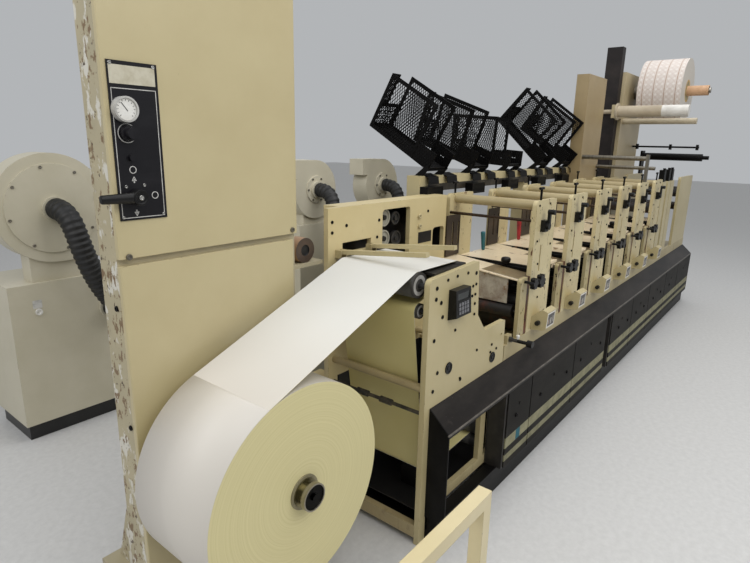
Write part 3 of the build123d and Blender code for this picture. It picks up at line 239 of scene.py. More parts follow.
# Black anodised aluminium: an even, dense black that shines tightly.
panel_black = dusty_paint("Black_anodised_plate", "#131216", "#29282B", 0.34, 0.5)
# An old brown black on the far post: flat and dusty.
brown_black_paint = dusty_paint("Brown_black_paint", "#1C1716", "#362E2B", 0.55, 0.42)
# Moulded phenolic: the hard, glossy black of machine knobs.
black_phenolic = dusty_paint("Black_phenolic", "#090909", "#201E1D", 0.38, 0.52)
# Steel plate soaked with dried ink: brown, and nearly as dark as paint.
inky_plate = dusty_paint("Ink_stained_plate", "#2E2823", "#5A4A3A", 0.5, 0.38)
dark_finishes = (charcoal_paint, ledge_paint, black_paint, panel_black, brown_black_paint,
                 black_phenolic, inky_plate)
print("dark finishes:", [mat.name for mat in dark_finishes])

# %% [markdown]
# Spindles, shafts and bolts are bare steel, turned or ground. The tool leaves fine lines that
# run round them and smear the highlight. An anisotropic shader could do that, but it needs
# tangents on every piece, so a noise that is squeezed along the shafts draws the lines instead.
# Real tool marks are 0.2 mm apart, too fine to show, and are drawn a few millimetres wide.


# %% Bare metals
def turned_metal(name, colour, shade, roughness, line_mm):
    """Shafts run along Y, so Y is squeezed and every blotch becomes a line round the shaft."""
    mat, shader, place = start_material(name, roughness, 1.0)
    # Blotches 60 lines wide, squeezed 60 times, are one line wide.
    base = stain(mat, linear(colour), place, shade, line_mm * 60, 0.3, 0.75,
                 stretch=(1, 60, 1))
    base = stain(mat, base, place, "#4A4034", 26, 0.66, 0.8)
    mat.node_tree.links.new(base, shader.inputs["Base Color"])
    moved = add(mat, "ShaderNodeMapping", {"Vector": place, "Scale": (1, 40, 1)})
    bumps(mat, shader, moved, 40 * line_mm, 0.12, 0.6)
    return mat


# Turned steel: bright, with a drawn-out highlight.
turned_steel = turned_metal("Turned_steel", "#A9A49A", "#837E74", 0.32, 3.0)
# Chrome plate: nearly a mirror, and colder.
chromed_steel = turned_metal("Chromed_steel", "#CFCECA", "#A7A5A0", 0.14, 5.0)
# Steel under a film of old oil: darker and duller.
oiled_steel = turned_metal("Oiled_steel", "#8A857A", "#5E594F", 0.42, 4.0)
# Steel that dried ink has stained brown.
inked_steel = turned_metal("Inked_steel", "#51443B", "#2E2620", 0.42, 4.0)
print("metals:", [mat.name for mat in (turned_steel, chromed_steel, oiled_steel, inked_steel)])

# %% [markdown]
# The print rollers are steel cores with moulded rubber, smeared with ink. Rubber is matt and
# nearly black, and dried ink on it is a dull red brown. One stain for the ink and a soft relief
# are enough, because rubber has no highlight that would show more.


# %% Rubber
def inked_rubber(name, colour, ink):
    """Matt rubber with blotches of dried ink."""
    mat, shader, place = start_material(name, 0.55)
    base = stain(mat, linear(colour), place, ink, 80, 0.5, 0.72)
    mat.node_tree.links.new(base, shader.inputs["Base Color"])
    bumps(mat, shader, place, 20.0, 0.1, 2.0)
    return mat


# Matt black with a red-brown bloom of ink.
roller_rubber = inked_rubber("Roller_rubber", "#201E1D", "#4A2418")
# Idlers run clean: mid grey with darker bands.
grey_rubber = inked_rubber("Grey_roller_rubber", "#4B4B48", "#33302C")
# The skin of the hoses: black, and grey where it is dusty.
hose_rubber = inked_rubber("Hose_rubber", "#151515", "#2B2927")
print("rubber:", [mat.name for mat in (roller_rubber, grey_rubber, hose_rubber)])

# %% [markdown]
# The loaded web is label stock: white coated paper on a yellow siliconed backing. It runs white
# side up over the table, turns round the second roller and comes back yellow side out. It could
# be two sheets, but they would flicker through each other. Both sides are one sheet, so the
# colour is chosen by which way a face looks and on which side of the turn it is.

# %% Places on the web
# The roll's round side is darker than white paper: a painted shade for the shade it lies in.
SHADED_ROLL_SIDE = "#D2CCC2"              # the round side of the roll, which the web starts with
WEB_ALONG = (0.9314, 0.0, 0.3641)  # direction of the straight run from the roll to the table
WEB_UP = (-0.6, 0.0, 0.8)          # side that the printed face looks to
TURN_X, TURN_Z = -1.115, 1.188     # before this place, or above it, the white face is on top
unwind_axis = tuple(hinges["unwind_spin"]["pos_m"])
leaving = WEB_ALONG[0] * unwind_axis[0] + WEB_ALONG[2] * unwind_axis[2]
print("the web leaves the roll", round(leaving, 3), "m along its run")


# %% Label stock, white above and yellow behind
def web_stock():
    mat, shader, place = start_material("Label_stock", 0.5)
    x, z = (add(mat, "ShaderNodeSeparateXYZ", {"Vector": place}, out=axis) for axis in "XZ")
    normal = add(mat, "ShaderNodeNewGeometry", out="Normal")
    facing = add(mat, "ShaderNodeVectorMath", {0: normal, 1: WEB_UP}, out="Value",
                 operation="DOT_PRODUCT")
    # White where the face looks up before the turn, or down after it; yellow otherwise.
    up = add(mat, "ShaderNodeMath", {0: facing, 1: 0.0}, operation="GREATER_THAN")
    before = add(mat, "ShaderNodeMath", {0: x, 1: TURN_X}, operation="LESS_THAN")
    above = add(mat, "ShaderNodeMath", {0: z, 1: TURN_Z}, operation="GREATER_THAN")
    first = add(mat, "ShaderNodeMath", {0: before, 1: above}, operation="MAXIMUM")
    differ = add(mat, "ShaderNodeMath", {0: up, 1: first}, operation="SUBTRACT")
    unlike = add(mat, "ShaderNodeMath", {0: differ}, operation="ABSOLUTE")
    run = add(mat, "ShaderNodeVectorMath", {0: place, 1: WEB_ALONG}, out="Value",
              operation="DOT_PRODUCT")
    past_end = add(mat, "ShaderNodeMath", {0: run, 1: leaving + 0.001},
                   operation="GREATER_THAN")
    back = add(mat, "ShaderNodeMath", {0: unlike, 1: past_end}, operation="MULTIPLY")
    white = stain(mat, linear("#E0DFDA"), place, "#D6D5CF", 700, 0.3, 0.7, detail=2.0)
    # Over the last 0.45 m the white fades into the roll's darkened side, a painted shade, so that
    # no step shows.
    near = add(mat, "ShaderNodeMapRange", {"Value": run, "From Min": leaving + 0.45,
                                           "From Max": leaving})
    white = add(mat, "ShaderNodeMix", {"Factor": near, "A": white, "B": linear(SHADED_ROLL_SIDE)}, out=2,
                data_type="RGBA")
    yellow = stain(mat, linear("#D6CB92"), place, "#C6BA7E", 500, 0.3, 0.7, detail=2.0)
    colour = add(mat, "ShaderNodeMix", {"Factor": back, "A": white, "B": yellow}, out=2,
                 data_type="RGBA")
    mat.node_tree.links.new(colour, shader.inputs["Base Color"])
    shader.inputs["Coat Weight"].default_value = 0.12
    shader.inputs["Coat Roughness"].default_value = 0.35
    return mat


# Coated paper: matt white with a faint sheen from its clay coat.
label_stock = web_stock()
print("web made:", label_stock.name)

# %% [markdown]
# On a wound roll the edges of thousands of layers make fine rings. Rings could be modelled as
# steps, but real layers are 0.15 mm thick, so they are colour and relief, drawn 7 to 9 mm wide
# to show. The distance from the roll's own axis goes into a one-dimensional noise, which makes
# them true circles. The round side shows the outer layer, plain or printed.


# %% Distance from a shaft
def from_shaft(mat, place, axis):
    """Centres the place on a shaft along Y, and measures how far it is from the shaft."""
    centred = add(mat, "ShaderNodeVectorMath", {0: place, 1: axis}, operation="SUBTRACT")
    flat = add(mat, "ShaderNodeVectorMath", {0: centred, 1: (1.0, 0.0, 1.0)},
               operation="MULTIPLY")
    return centred, add(mat, "ShaderNodeVectorMath", {0: flat}, out="Value", operation="LENGTH")


# %% Print on the round side
LABEL_MM = 48.4  # one label, and one lane between two slits


def print_rings(mat, centred, radius, paper):
    """Prints rows of faint rings on the round side, and a thin line between the lanes."""
    x, y, z = (add(mat, "ShaderNodeSeparateXYZ", {"Vector": centred}, out=axis) for axis in "XYZ")
    angle = add(mat, "ShaderNodeMath", {0: z, 1: x}, operation="ARCTAN2")
    along = add(mat, "ShaderNodeMath", {0: angle, 1: radius}, operation="MULTIPLY")
    unrolled = add(mat, "ShaderNodeCombineXYZ", {"X": along, "Y": y})
    cell = add(mat, "ShaderNodeTexVoronoi", {"Vector": unrolled, "Scale": 1000 / LABEL_MM,
                                             "Randomness": 0.0}, voronoi_dimensions="2D")
    ring = add(mat, "ShaderNodeMath", {0: cell, 1: 0.42, 2: 0.05}, operation="COMPARE")
    dot = add(mat, "ShaderNodeMath", {0: cell, 1: 0.20, 2: 0.04}, operation="COMPARE")
    lane = add(mat, "ShaderNodeMath", {0: y, 1: LABEL_MM / 1000}, operation="PINGPONG")
    line = add(mat, "ShaderNodeMath", {0: lane, 1: 0.94 * LABEL_MM / 1000},
               operation="GREATER_THAN")
    both = add(mat, "ShaderNodeMath", {0: ring, 1: dot}, operation="MAXIMUM")
    faint = add(mat, "ShaderNodeMath", {0: both, 1: 0.6}, operation="MULTIPLY")
    ink = add(mat, "ShaderNodeMath", {0: faint, 1: line}, operation="MAXIMUM")
    return add(mat, "ShaderNodeMix", {"Factor": ink, "A": paper, "B": linear("#A3836C")}, out=2,
               data_type="RGBA")


# %% Wound paper
def wound_paper(name, axis, side, edge, edge_shade, ring_mm, printed=False):
    """One shade for the round side, and rings of two shades for the cut edges."""
    mat, shader, place = start_material(name, 0.55)
    centred, radius = from_shaft(mat, place, axis)
    ring = add(mat, "ShaderNodeTexNoise", {"W": radius, "Scale": 1000 / ring_mm, "Detail": 5.0,
                                           "Roughness": 0.75}, noise_dimensions="1D")
    tone = add(mat, "ShaderNodeMapRange", {"Value": ring, "From Min": 0.3, "From Max": 0.7})
    ends = add(mat, "ShaderNodeMix", {"Factor": tone, "A": linear(edge),
                                      "B": linear(edge_shade)}, out=2, data_type="RGBA")
    normal = add(mat, "ShaderNodeNewGeometry", out="Normal")
    y = add(mat, "ShaderNodeSeparateXYZ", {"Vector": normal}, out="Y")
    flatness = add(mat, "ShaderNodeMath", {0: y}, operation="ABSOLUTE")
    is_end = add(mat, "ShaderNodeMath", {0: flatness, 1: 0.7}, operation="GREATER_THAN")
    round_side = stain(mat, linear(side), place, "#CAC4BA", 500, 0.6, 0.9, detail=2.0)
    if printed:
        round_side = print_rings(mat, centred, radius, round_side)
    colour = add(mat, "ShaderNodeMix", {"Factor": is_end, "A": round_side, "B": ends}, out=2,
                 data_type="RGBA")
    mat.node_tree.links.new(colour, shader.inputs["Base Color"])
    relief = add(mat, "ShaderNodeBump", {"Height": ring, "Strength": 0.2, "Distance": 0.0008})
    mat.node_tree.links.new(relief, shader.inputs["Normal"])
    return mat


rewind_axis = tuple(hinges["rewind_spin"]["pos_m"])
# The round side of the unwind roll takes the darkened roll colour, a painted shade.
# Cut edges of yellow backing and white paper: a matt pale yellow in fine rings.
unwind_paper = wound_paper("Wound_label_stock", unwind_axis, SHADED_ROLL_SIDE, "#D9CF9F", "#CDC390", 7)
# The printed stock is wound face out: pale pink brown from its print, with greyer edges.
rewind_paper = wound_paper("Wound_printed_stock", rewind_axis, "#DCD5CF", "#D0CAC0", "#BCB5AA", 9,
                           printed=True)
print("wound rolls:", [mat.name for mat in (unwind_paper, rewind_paper)])

# %% [markdown]
# Some CAD nodes hold like pieces that were painted apart, such as the cream rails and black ribs
# of the base. Painting them apart by face would need the faces picked by hand. Here the finish
# is repainted inside boxes, which holds for any mesh: a zone is a list of limits, a colour and
# its shade. A limit is along X, Y or Z, along the pitch of the print units (U), or from a shaft.


# %% Repainted zones
PITCH = 0.508  # from one print unit to the next


def coordinate(mat, place, axis):
    """Reads X, Y or Z, the place along one print unit (U), or the distance from a shaft."""
    if axis in ("X", "Y", "Z"):
        return add(mat, "ShaderNodeSeparateXYZ", {"Vector": place}, out=axis)
    if axis == "U":
        x = add(mat, "ShaderNodeSeparateXYZ", {"Vector": place}, out="X")
        moved = add(mat, "ShaderNodeMath", {0: x, 1: PITCH / 2}, operation="ADD")
        return add(mat, "ShaderNodeMath", {0: moved, 1: PITCH}, operation="FLOORED_MODULO")
    return from_shaft(mat, place, (axis[0], 0.0, axis[1]))[1]


def over_base(mat):
    """Gives the shader, its place and the colour that a further layer goes over."""
    shader = mat.node_tree.nodes["Principled BSDF"]
    place = add(mat, "ShaderNodeTexCoord", out="Object")
    return shader, place, shader.inputs["Base Color"].links[0].from_socket


def repaint(mat, zones):
    """Lays each zone over the finish; a later zone goes over an earlier."""
    shader, place, base = over_base(mat)
    for limits, colour, shade in zones:
        inside = 1.0
        for axis, low, high in limits:
            value = coordinate(mat, place, axis)
            above = add(mat, "ShaderNodeMath", {0: value, 1: low}, operation="GREATER_THAN")
            below = add(mat, "ShaderNodeMath", {0: value, 1: high}, operation="LESS_THAN")
            both = add(mat, "ShaderNodeMath", {0: above, 1: below}, operation="MULTIPLY")
            inside = add(mat, "ShaderNodeMath", {0: both, 1: inside}, operation="MULTIPLY")
        new = stain(mat, linear(colour), place, shade, 70, 0.4, 0.8)
        base = add(mat, "ShaderNodeMix", {"Factor": inside, "A": base, "B": new}, out=2,
                   data_type="RGBA")
    mat.node_tree.links.new(base, shader.inputs["Base Color"])
    return mat


CHARCOAL, SOOT = ("#1D1B18", "#34302C"), ("#0A0909", "#191817")  # a colour and its shade

# %% [markdown]
# The base is one long frame: cream rails with black ribs behind them, charcoal doors with two
# pale stripes, and a folded charcoal ledge with a rubbed lip. The stripes are paint, so they
# are zones, not strips of metal.

# %% Base, doors and ledge
# Worn cream on the rails, charcoal on the front faces, black where the frame is open.
base_enamel = repaint(enamel("Cream_enamel_base", "#B6A87F", "#A0916A", "#5E4B30", 0.12, 0.5), [
    ([("Y", -1.0, -0.2565)], *CHARCOAL),
    ([("Y", -0.2295, 1.0), ("Z", 0.0, 0.6405)], *SOOT)])
# The end face is black and the lower lip is rubbed to a dull grey.
ledge_finish = repaint(ledge_paint, [
    ([("X", -1.07, -1.0571)], *SOOT),
    ([("Z", 0.546, 0.5535), ("Y", -0.36, -0.3495)], "#69645D", "#2E2B28")])
# A wide and a narrow dusty olive stripe, with one blue-green mark on the wide one.
door_finish = repaint(charcoal_paint, [
    ([("Z", 0.235, 0.292)], "#928E72", "#66644B"),
    ([("Z", 0.164, 0.198)], "#8B876C", "#5F5D46"),
    ([("Z", 0.235, 0.292), ("X", -0.385, -0.335)], "#2F6470", "#3A4E50"),
    ([("Y", 0.2, 1.0)], *CHARCOAL)])
print("base finishes:", [mat.name for mat in (base_enamel, ledge_finish, door_finish)])

# %% [markdown]
# Print units get splashed: spots of black and red-brown ink dry on the plates round the rollers
# and run down. Drops could be modelled, but they are thinner than paint. A splash is one more
# stain with a sharp edge, drawn out downwards. The feed boards between the units are tan
# phenolic sheet, smooth and greasy, with a grey trough and black edges.


# %% Print units
def splash(mat, colour, size_mm, low, drawn=0.5):
    """The lower the low, the more spots. The smaller the drawn, the longer they run down."""
    shader, place, base = over_base(mat)
    base = stain(mat, base, place, colour, size_mm, low, low + 0.03, stretch=(1, 1, drawn))
    mat.node_tree.links.new(base, shader.inputs["Base Color"])
    return mat


# Plates: cream with rust-brown runs and small black spots. The cream is paler than on the rest of
# the press, a painted light that lifts the shade between the units.
unit_light_and_ink_enamel = enamel("Cream_enamel_units_painted_light", "#CDBF95", "#BCAC80", "#54402A", 0.13, 0.46, 0.05)
splash(splash(unit_light_and_ink_enamel, "#5A2C18", 34, 0.635, 0.25), "#231A14", 22, 0.645, 0.5)
# Tubes over the units gather dust: a greyer, flatter cream.
tube_enamel = enamel("Cream_enamel_tubes", "#AFA078", "#9F8F68", "#7A6540", 0.08, 0.45)
# Boards: warm tan that shines where it is greasy. The tan is paler than the board itself, a painted
# light that lifts the shade the guards and plates cast on the boards.
board_light_and_ink = repaint(enamel("Tan_board_painted_light", "#F0DFC0", "#E0CBA6", "#7E603E", 0.08, 0.36), [
    ([("U", 0.0605, 0.0675), ("Z", 0.88, 1.035)], "#BDB5A4", "#6A4A3A"),
    ([("Z", 1.0, 1.0415), ("U", 0.07, 0.262)], "#8F7D5C", "#5F4E38"),
    ([("Z", 1.0, 1.0415), ("U", 0.262, 0.6)], *SOOT),
    ([("Z", 1.0, 1.0575), ("U", 0.2670, 0.2692)], *SOOT)])
splash(splash(board_light_and_ink, "#8A6A48", 60, 0.62, 1.0), "#3A2A1E", 16, 0.655, 1.0)
# Slide blocks: the dirtiest enamel, with a fountain edge soaked in red-brown ink.
block_finish = repaint(grimy_enamel, [([("U", 0.094, 0.1225)], "#2A1712", "#7A3A1C")])
splash(splash(block_finish, "#4A2416", 40, 0.60, 0.3), "#1F1712", 20, 0.63, 0.6)
print("unit finishes:", [mat.name for mat in (unit_light_and_ink_enamel, board_light_and_ink, block_finish)])

# %% [markdown]
# Each unit has an indicator box with a small label in its face: a white frame round a dark field
# with three pale marks. It could be a picture on its own plate, but it is printed film with no
# thickness to see. So it is five zones, each laid over the one before.

# %% Indicator boxes
LABEL_PARTS = [  # left and right along the unit, foot and head, colour and shade
    (0.188, 0.290, 0.750, 0.832, "#E2E0DA", "#C9C5BA"),
    (0.195, 0.284, 0.757, 0.824, "#2A2625", "#4E4A46"),
    (0.204, 0.216, 0.768, 0.796, "#B9A58E", "#6A3A2A"),
    (0.232, 0.246, 0.766, 0.800, "#C9C5BA", "#8A8378"),
    (0.262, 0.274, 0.772, 0.806, "#B5B0A4", "#5A4A40")]
box_zones = [([("Y", -0.3475, -0.3385), ("U", left, right), ("Z", foot, head)], colour, shade)
             for left, right, foot, head, colour, shade in LABEL_PARTS]
box_zones.append(([("U", 0.157, 0.1795)], *SOOT))
# Clean satin cream round the label, and a black end cap.
box_finish = repaint(enamel("Cream_enamel_boxes", *AGED_CREAM), box_zones)
print("zones on an indicator box:", len(box_zones))

# %% [markdown]
# At the infeed the web crosses a charcoal table between a cream side plate and the tall gear
# housing. Its rollers are grey rubber with bright steel ends. Where a shaft comes through, the
# zone is a ring about it, so the steel end stays round whatever mesh the roller has.

# %% Infeed
# Smooth charcoal on the table top, cream on its far rail.
table_finish = repaint(dusty_paint("Charcoal_table", "#1D1B18", "#3A3631", 0.42, 0.42), [
    ([("Y", 0.215, 0.26), ("Z", 1.2025, 1.3)], "#BDAF86", "#9C8C62")])
# Grey rubber, black bearing caps and pale turned ends: a shaft, its inner and its outer radius.
ROLLER_ENDS = (((-1.095, 1.162), 0.026, 0.041), ((-1.079, 1.053), 0.016, 0.025))
roller_finish = repaint(grey_rubber, [
    ([("Y", -0.2045, -0.1965)], "#2A2826", "#4B4945"),
    *[([(shaft, inner, outer), ("Y", -0.2045, -0.2030)], "#A9A7A2", "#6E6B66")
      for shaft, inner, outer in ROLLER_ENDS],
    ([("Y", -0.2310, -0.2045)], *SOOT),
    ([("X", -0.83, -0.77), ("Z", 1.15, 1.23)], "#242220", "#403D39")])
# Tie bars: dull, handled cream above, oily black below.
tie_finish = repaint(enamel("Cream_enamel_ties", "#AC9C75", "#9C8C66", "#5E4B30", 0.14, 0.55), [
    ([("Z", 0.60, 0.64)], "#191715", "#5C5547")])
# Cast wheels in grey with black hubs, and beside them one that is black all over.
wheel_finish = repaint(enamel("Grey_wheels", "#A9A595", "#8F8B7C", "#5E5646", 0.02, 0.45), [
    ([("X", -0.645, -0.5)], "#262422", "#3C3935"),
    *[([((-0.69, z), 0.0, 0.014)], *SOOT) for z in (1.34, 1.235)]])
# The housing outside is yellower cream; behind its window it is black.
housing_finish = repaint(enamel("Cream_enamel_housing", "#D2C192", "#C6B483", "#8E7A50", 0.07,
                                0.42), [
    ([("X", -1.037, -0.175), ("Z", 0.659, 1.419), ("Y", 0.2797, 0.3850)], *SOOT)])
# The beam over the units is cream with a dark lower band.
beam_finish = repaint(enamel("Cream_enamel_beam", "#C6B88F", "#B8AA7F", "#8E7A50", 0.05, 0.42), [
    ([("Y", 0.38, 0.384), ("Z", 1.42, 1.472), ("X", -0.17, 5.0)], "#1B1816", "#4A4234")])
print("infeed finishes:", [mat.name for mat in (table_finish, roller_finish, tie_finish,
                                                wheel_finish, housing_finish, beam_finish)])

# %% [markdown]
# The loaded rolls sit on spindles whose chucks are dull brass-coloured steel round a black
# centre. Each roll has a core, the tape roll has a black hub, and the far roll is held by a
# yellow collar. These parts could be painted face by face, but they are all round. So their
# zones are rings about the spindle, and they stay true circles on any mesh.

# %% Rolls, chucks and mandrels
spindle, far_spindle = (unwind_axis[0], unwind_axis[2]), (rewind_axis[0], rewind_axis[2])
# Bright turned shaft behind a dull chuck.
chuck_finish = repaint(turned_metal("Spindle_steel", "#A9A49A", "#837E74", 0.32, 3.0), [
    ([(spindle, 0.0, 0.0505), ("Y", -0.2258, -0.17)], "#8D8669", "#5F5A45"),
    ([(spindle, 0.0, 0.0428), ("Y", -0.2480, -0.2385)], *SOOT)])
# Grey board core, then the far roll's collar, its core and its shaft.
repaint(unwind_paper, [([(spindle, 0.0, 0.0605), ("Y", -0.21, -0.17)], "#8C8468", "#6E674F")])
repaint(rewind_paper, [
    ([(far_spindle, 0.088, 0.104), ("Y", -0.2, -0.19)], "#C8A04A", "#A8802C"),
    ([(far_spindle, 0.0, 0.088), ("Y", -0.2, -0.19)], "#A89A6A", "#5A5340"),
    ([(far_spindle, 0.0, 0.0475)], "#C8A07C", "#B08860")])
# Brown paper tape: smooth on the round side, darker layers on the end.
tape_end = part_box("tape_roll")[0][1]
tape_finish = repaint(enamel("Brown_paper_tape", "#A98665", "#967454", "#7A5E3C", 0.02, 0.4), [
    ([("Y", tape_end - 0.001, tape_end + 0.0008)], "#3B3029", "#5A4636"),
    ([((-1.222, 1.25), 0.0, 0.024)], *SOOT)])
# Mandrels: tan sleeves, one with white film on it, and black flanges at the back.
mandrel_finish = repaint(enamel("Tan_mandrels", "#BDB098", "#9C8D76", "#6A573C", 0.06, 0.4), [
    ([("Z", 1.96, 2.09), ("Y", -0.34, -0.12)], "#DAD7D0", "#BDB8AE"),
    ([("Z", 1.90, 1.975)], "#BFB39A", "#A6987C"),
    ([("Y", 0.45, 0.6)], *SOOT)])
print("roll finishes:", [mat.name for mat in (chuck_finish, tape_finish, mandrel_finish)])

# %% [markdown]
# What stands beside the press was painted in other shops: the fence rail in a pale cream, the
# rewind cabinet and tower in tans that have gathered dust, and the blower stands in grey cream
# on a black foot. They are the same enamel with other colours, so they age alike.

# %% Rail, stands, cabinet and tower
# The rail is pale and clean, and shines a little more.
rail_enamel = enamel("Cream_enamel_rail", "#D9CBA3", "#CDBE93", "#A39064", -0.02, 0.38)
# Grey cream with a soft shine, on a black foot.
stand_finish = repaint(enamel("Grey_cream_stands", "#C8C1AC", "#BBB49C", "#958B70", 0.02, 0.45), [
    ([("Y", 1.7, 2.6), ("Z", 0.0, 0.0955)], *SOOT)])
# A dark tan and a browned cream, both flat with dust.
cabinet_finish = enamel("Tan_cabinet_enamel", "#9C8862", "#8B7752", "#5E4A30", 0.06, 0.5)
tower_finish = enamel("Dusty_cream_enamel", "#B5A684", "#A69775", "#7A6544", 0.04, 0.5)
print("stand finishes:", [mat.name for mat in (rail_enamel, stand_finish, cabinet_finish,
                                               tower_finish)])

# %% [markdown]
# The control panel is a black anodised plate with a gauge: a steel rim round a white dial. The
# small parts are moulded plastic. Moulded plastic is even in colour with a fine grain from the
# tool, so one gentle stain and a 1.2 mm relief are enough.

# %% Panel, knob and plastics
GAUGE = (-1.984, 1.776)  # X and Z of the gauge
GAUGE_FACE = ("Y", 0.22, 0.2500)  # the gauge is sunk behind the front of the panel


def moulded(name, colour, shade, roughness, size_mm=30):
    """Plain plastic or printed ink, with one gentle stain."""
    mat, shader, place = start_material(name, roughness)
    base = stain(mat, linear(colour), place, shade, size_mm, 0.45, 0.75)
    mat.node_tree.links.new(base, shader.inputs["Base Color"])
    bumps(mat, shader, place, 1.2, 0.08, 0.4)
    return mat


# Dense black plate, steel rim, white dial.
panel_finish = repaint(panel_black, [
    ([(GAUGE, 0.0305, 0.0365), GAUGE_FACE], "#BDBBB6", "#7E7B75"),
    ([(GAUGE, 0.0, 0.0305), GAUGE_FACE], "#E4E2DC", "#D2CFC6")])
# Black knob whose front has been rubbed grey.
knob_finish = repaint(dusty_paint("Black_knob", "#0E0D0D", "#3A3835", 0.4, 0.5), [
    ([("Y", -0.30, -0.2305)], "#2C2A28", "#4C4944")])
# Screened ink is matt and a little uneven; keys are satin; the display is glossy and dark.
screened_white = moulded("Screened_white", "#C9C7C2", "#8C8984", 0.5)
key_grey = moulded("Grey_key_plastic", "#77777A", "#4C4C4E", 0.45, 8)
display_glass = moulded("Display_glass", "#161C1C", "#222A28", 0.12)
# Glossy ball and button, two coloured handles with a satin skin, and a dull pale plate.
ball_white = moulded("White_plastic", "#DEDCD6", "#B9B5AA", 0.3, 12)
teal_plastic = moulded("Teal_plastic", "#17606A", "#124048", 0.4)
red_plastic = moulded("Red_plastic", "#A8202A", "#701820", 0.4)
pale_plate = moulded("Pale_blank_plate", "#C4BEAA", "#AEA68E", 0.4)
print("small parts:", [mat.name for mat in (screened_white, key_grey, display_glass,
                                            ball_white, teal_plastic, red_plastic, pale_plate)])

# %% [markdown]
# Each CAD node takes one finish. The slots could be filled by hand in the editor, but a table
# shows at a glance what every piece is made of, and its last line reports any node left bare.

# %% Give each CAD node its finish
finishes = {
    "unwind_column": end_enamel, "unwind_covers": cover_enamel, "control_panel": panel_finish,
    "panel_lever": black_phenolic, "spindle_bearings": oiled_steel,
    "unwind_spindle": chuck_finish, "unwind_roll": unwind_paper,
    "infeed_operator_plate": cream_enamel, "keypad_box": black_phenolic,
    "gear_housing": housing_finish, "drive_wheels": wheel_finish, "infeed_rollers": roller_finish,
    "splice_table": table_finish, "tie_bars": tie_finish, "web": label_stock,
    "splice_clamp_front": cream_enamel, "splice_clamp_rear": cream_enamel,
    "plinth": black_paint, "base_frame": base_enamel, "skirt_doors": door_finish,
    "ledge_folds": ledge_finish, "bay_pump": black_paint, "register_knob": knob_finish,
    "unit_plates": unit_light_and_ink_enamel, "top_tubes": tube_enamel, "tie_shafts": inked_steel,
    "clamp_screws": black_paint, "print_rollers": roller_rubber, "unit_boards": board_light_and_ink,
    "slotted_plates": inky_plate, "slide_blocks": block_finish,
    "unit_handles": black_phenolic, "indicator_boxes": box_finish,
    "end_section_plates": cream_enamel, "die_pressure_heads": black_paint,
    "die_rollers": roller_rubber, "die_bars": turned_steel, "rewind_cabinet": cabinet_finish,
    "rewind_tower": tower_finish, "rewind_dark_post": brown_black_paint,
    "rewind_spindle": turned_steel, "rewind_roll": rewind_paper, "waste_mandrels": mandrel_finish,
    "turn_bars": oiled_steel, "rewind_shafts": black_paint, "rear_beam": beam_finish,
    "guard_lugs": black_paint, "fence_rail": rail_enamel, "blower_stands": stand_finish,
    "blowers": grey_enamel, "large_blower_hose": hose_rubber, "small_blower_hose": hose_rubber,
    "unit_blower_hose": hose_rubber, "tape_roll": tape_finish,
    **{f"guard_{k}": black_paint for k in range(1, 6)},
}
for name, finish in finishes.items():
    nodes[name].data.materials.clear()
    nodes[name].data.materials.append(finish)
print("finished nodes:", len(finishes), "left:", sorted(set(nodes) - set(finishes)))

# %% [markdown]
# The camera stands at eye height near the unwind. It could be aimed by eye until the picture
# fits, but its place, turn and lens were worked out from the straight edges of the press, so
# every piece can be compared with the photo. The three directions are the camera's own axes.

# %% Camera
CAMERA_AT = (-2.812, -1.345, 1.7)
camera_data = bpy.data.cameras.new("Photo_camera")
camera_data.lens = 26.22
camera_data.sensor_width = 36.0
camera_data.clip_end = 60.0
camera = bpy.data.objects.new("Photo_camera", camera_data)
bpy.context.scene.collection.objects.link(camera)
right = Vector((0.6256, -0.7799, 0.0196))
up = Vector((0.1814, 0.1699, 0.9686))
forward = Vector((0.7588, 0.6024, -0.2478))
turn = Matrix((right, up, -forward)).transposed()
camera.matrix_world = Matrix.Translation(CAMERA_AT) @ turn.to_4x4()
bpy.context.scene.camera = camera
print("camera looks along", [round(v, 2) for v in -turn.col[2]])

# %% [markdown]
# Light: a plain pale room. One small lamp would give hard shadows that hide the units, so three
# large soft lamps overhead give the form, and a weak pale world fills the shadows.

# %% Floor, lamps and world
bpy.ops.object.select_all(action="DESELECT")
bpy.ops.mesh.primitive_plane_add(size=60.0, location=(1.0, 0.0, -0.001))
floor = bpy.context.object
floor.name = "Floor"
# Pale and matt, so that it keeps the shadows and adds no shine of its own.
floor_mat, floor_shader, floor_place = start_material("Pale_floor", 0.6)
floor_colour = stain(floor_mat, linear("#C4C3C1"), floor_place, "#CFCECC", 30, 0.3, 0.7)
floor_mat.node_tree.links.new(floor_colour, floor_shader.inputs["Base Color"])
floor.data.materials.append(floor_mat)

world = bpy.data.worlds.new("Plain_room")
bpy.context.scene.world = world
world.use_nodes = True
world.node_tree.nodes["Background"].inputs["Color"].default_value = linear("#E0E3E6")
world.node_tree.nodes["Background"].inputs["Strength"].default_value = 0.6


def lamp(name, place, target, size, energy):
    """Hangs a soft rectangular lamp that looks at the target."""
    data = bpy.data.lights.new(name, "AREA")
    data.shape = "RECTANGLE"
    data.size, data.size_y = size
    data.energy = energy
    item = bpy.data.objects.new(name, data)
    bpy.context.scene.collection.objects.link(item)
    item.location = place
    item.rotation_euler = (Vector(target) - Vector(place)).to_track_quat("-Z", "Y").to_euler()
    return item


lamps = [
    lamp("Soft_lamp_front", (-1.5, -3.5, 4.2), (0.5, 0.0, 0.8), (6.0, 2.0), 120.0),
    lamp("Soft_lamp_over", (2.0, -0.6, 5.0), (2.0, 0.0, 0.5), (7.0, 2.5), 120.0),
    lamp("Soft_lamp_left", (-5.0, 1.0, 4.0), (-1.0, 0.0, 1.0), (3.0, 3.0), 70.0)]
bpy.context.scene.view_settings.view_transform = "Standard"
print("lamps placed:", len(lamps))

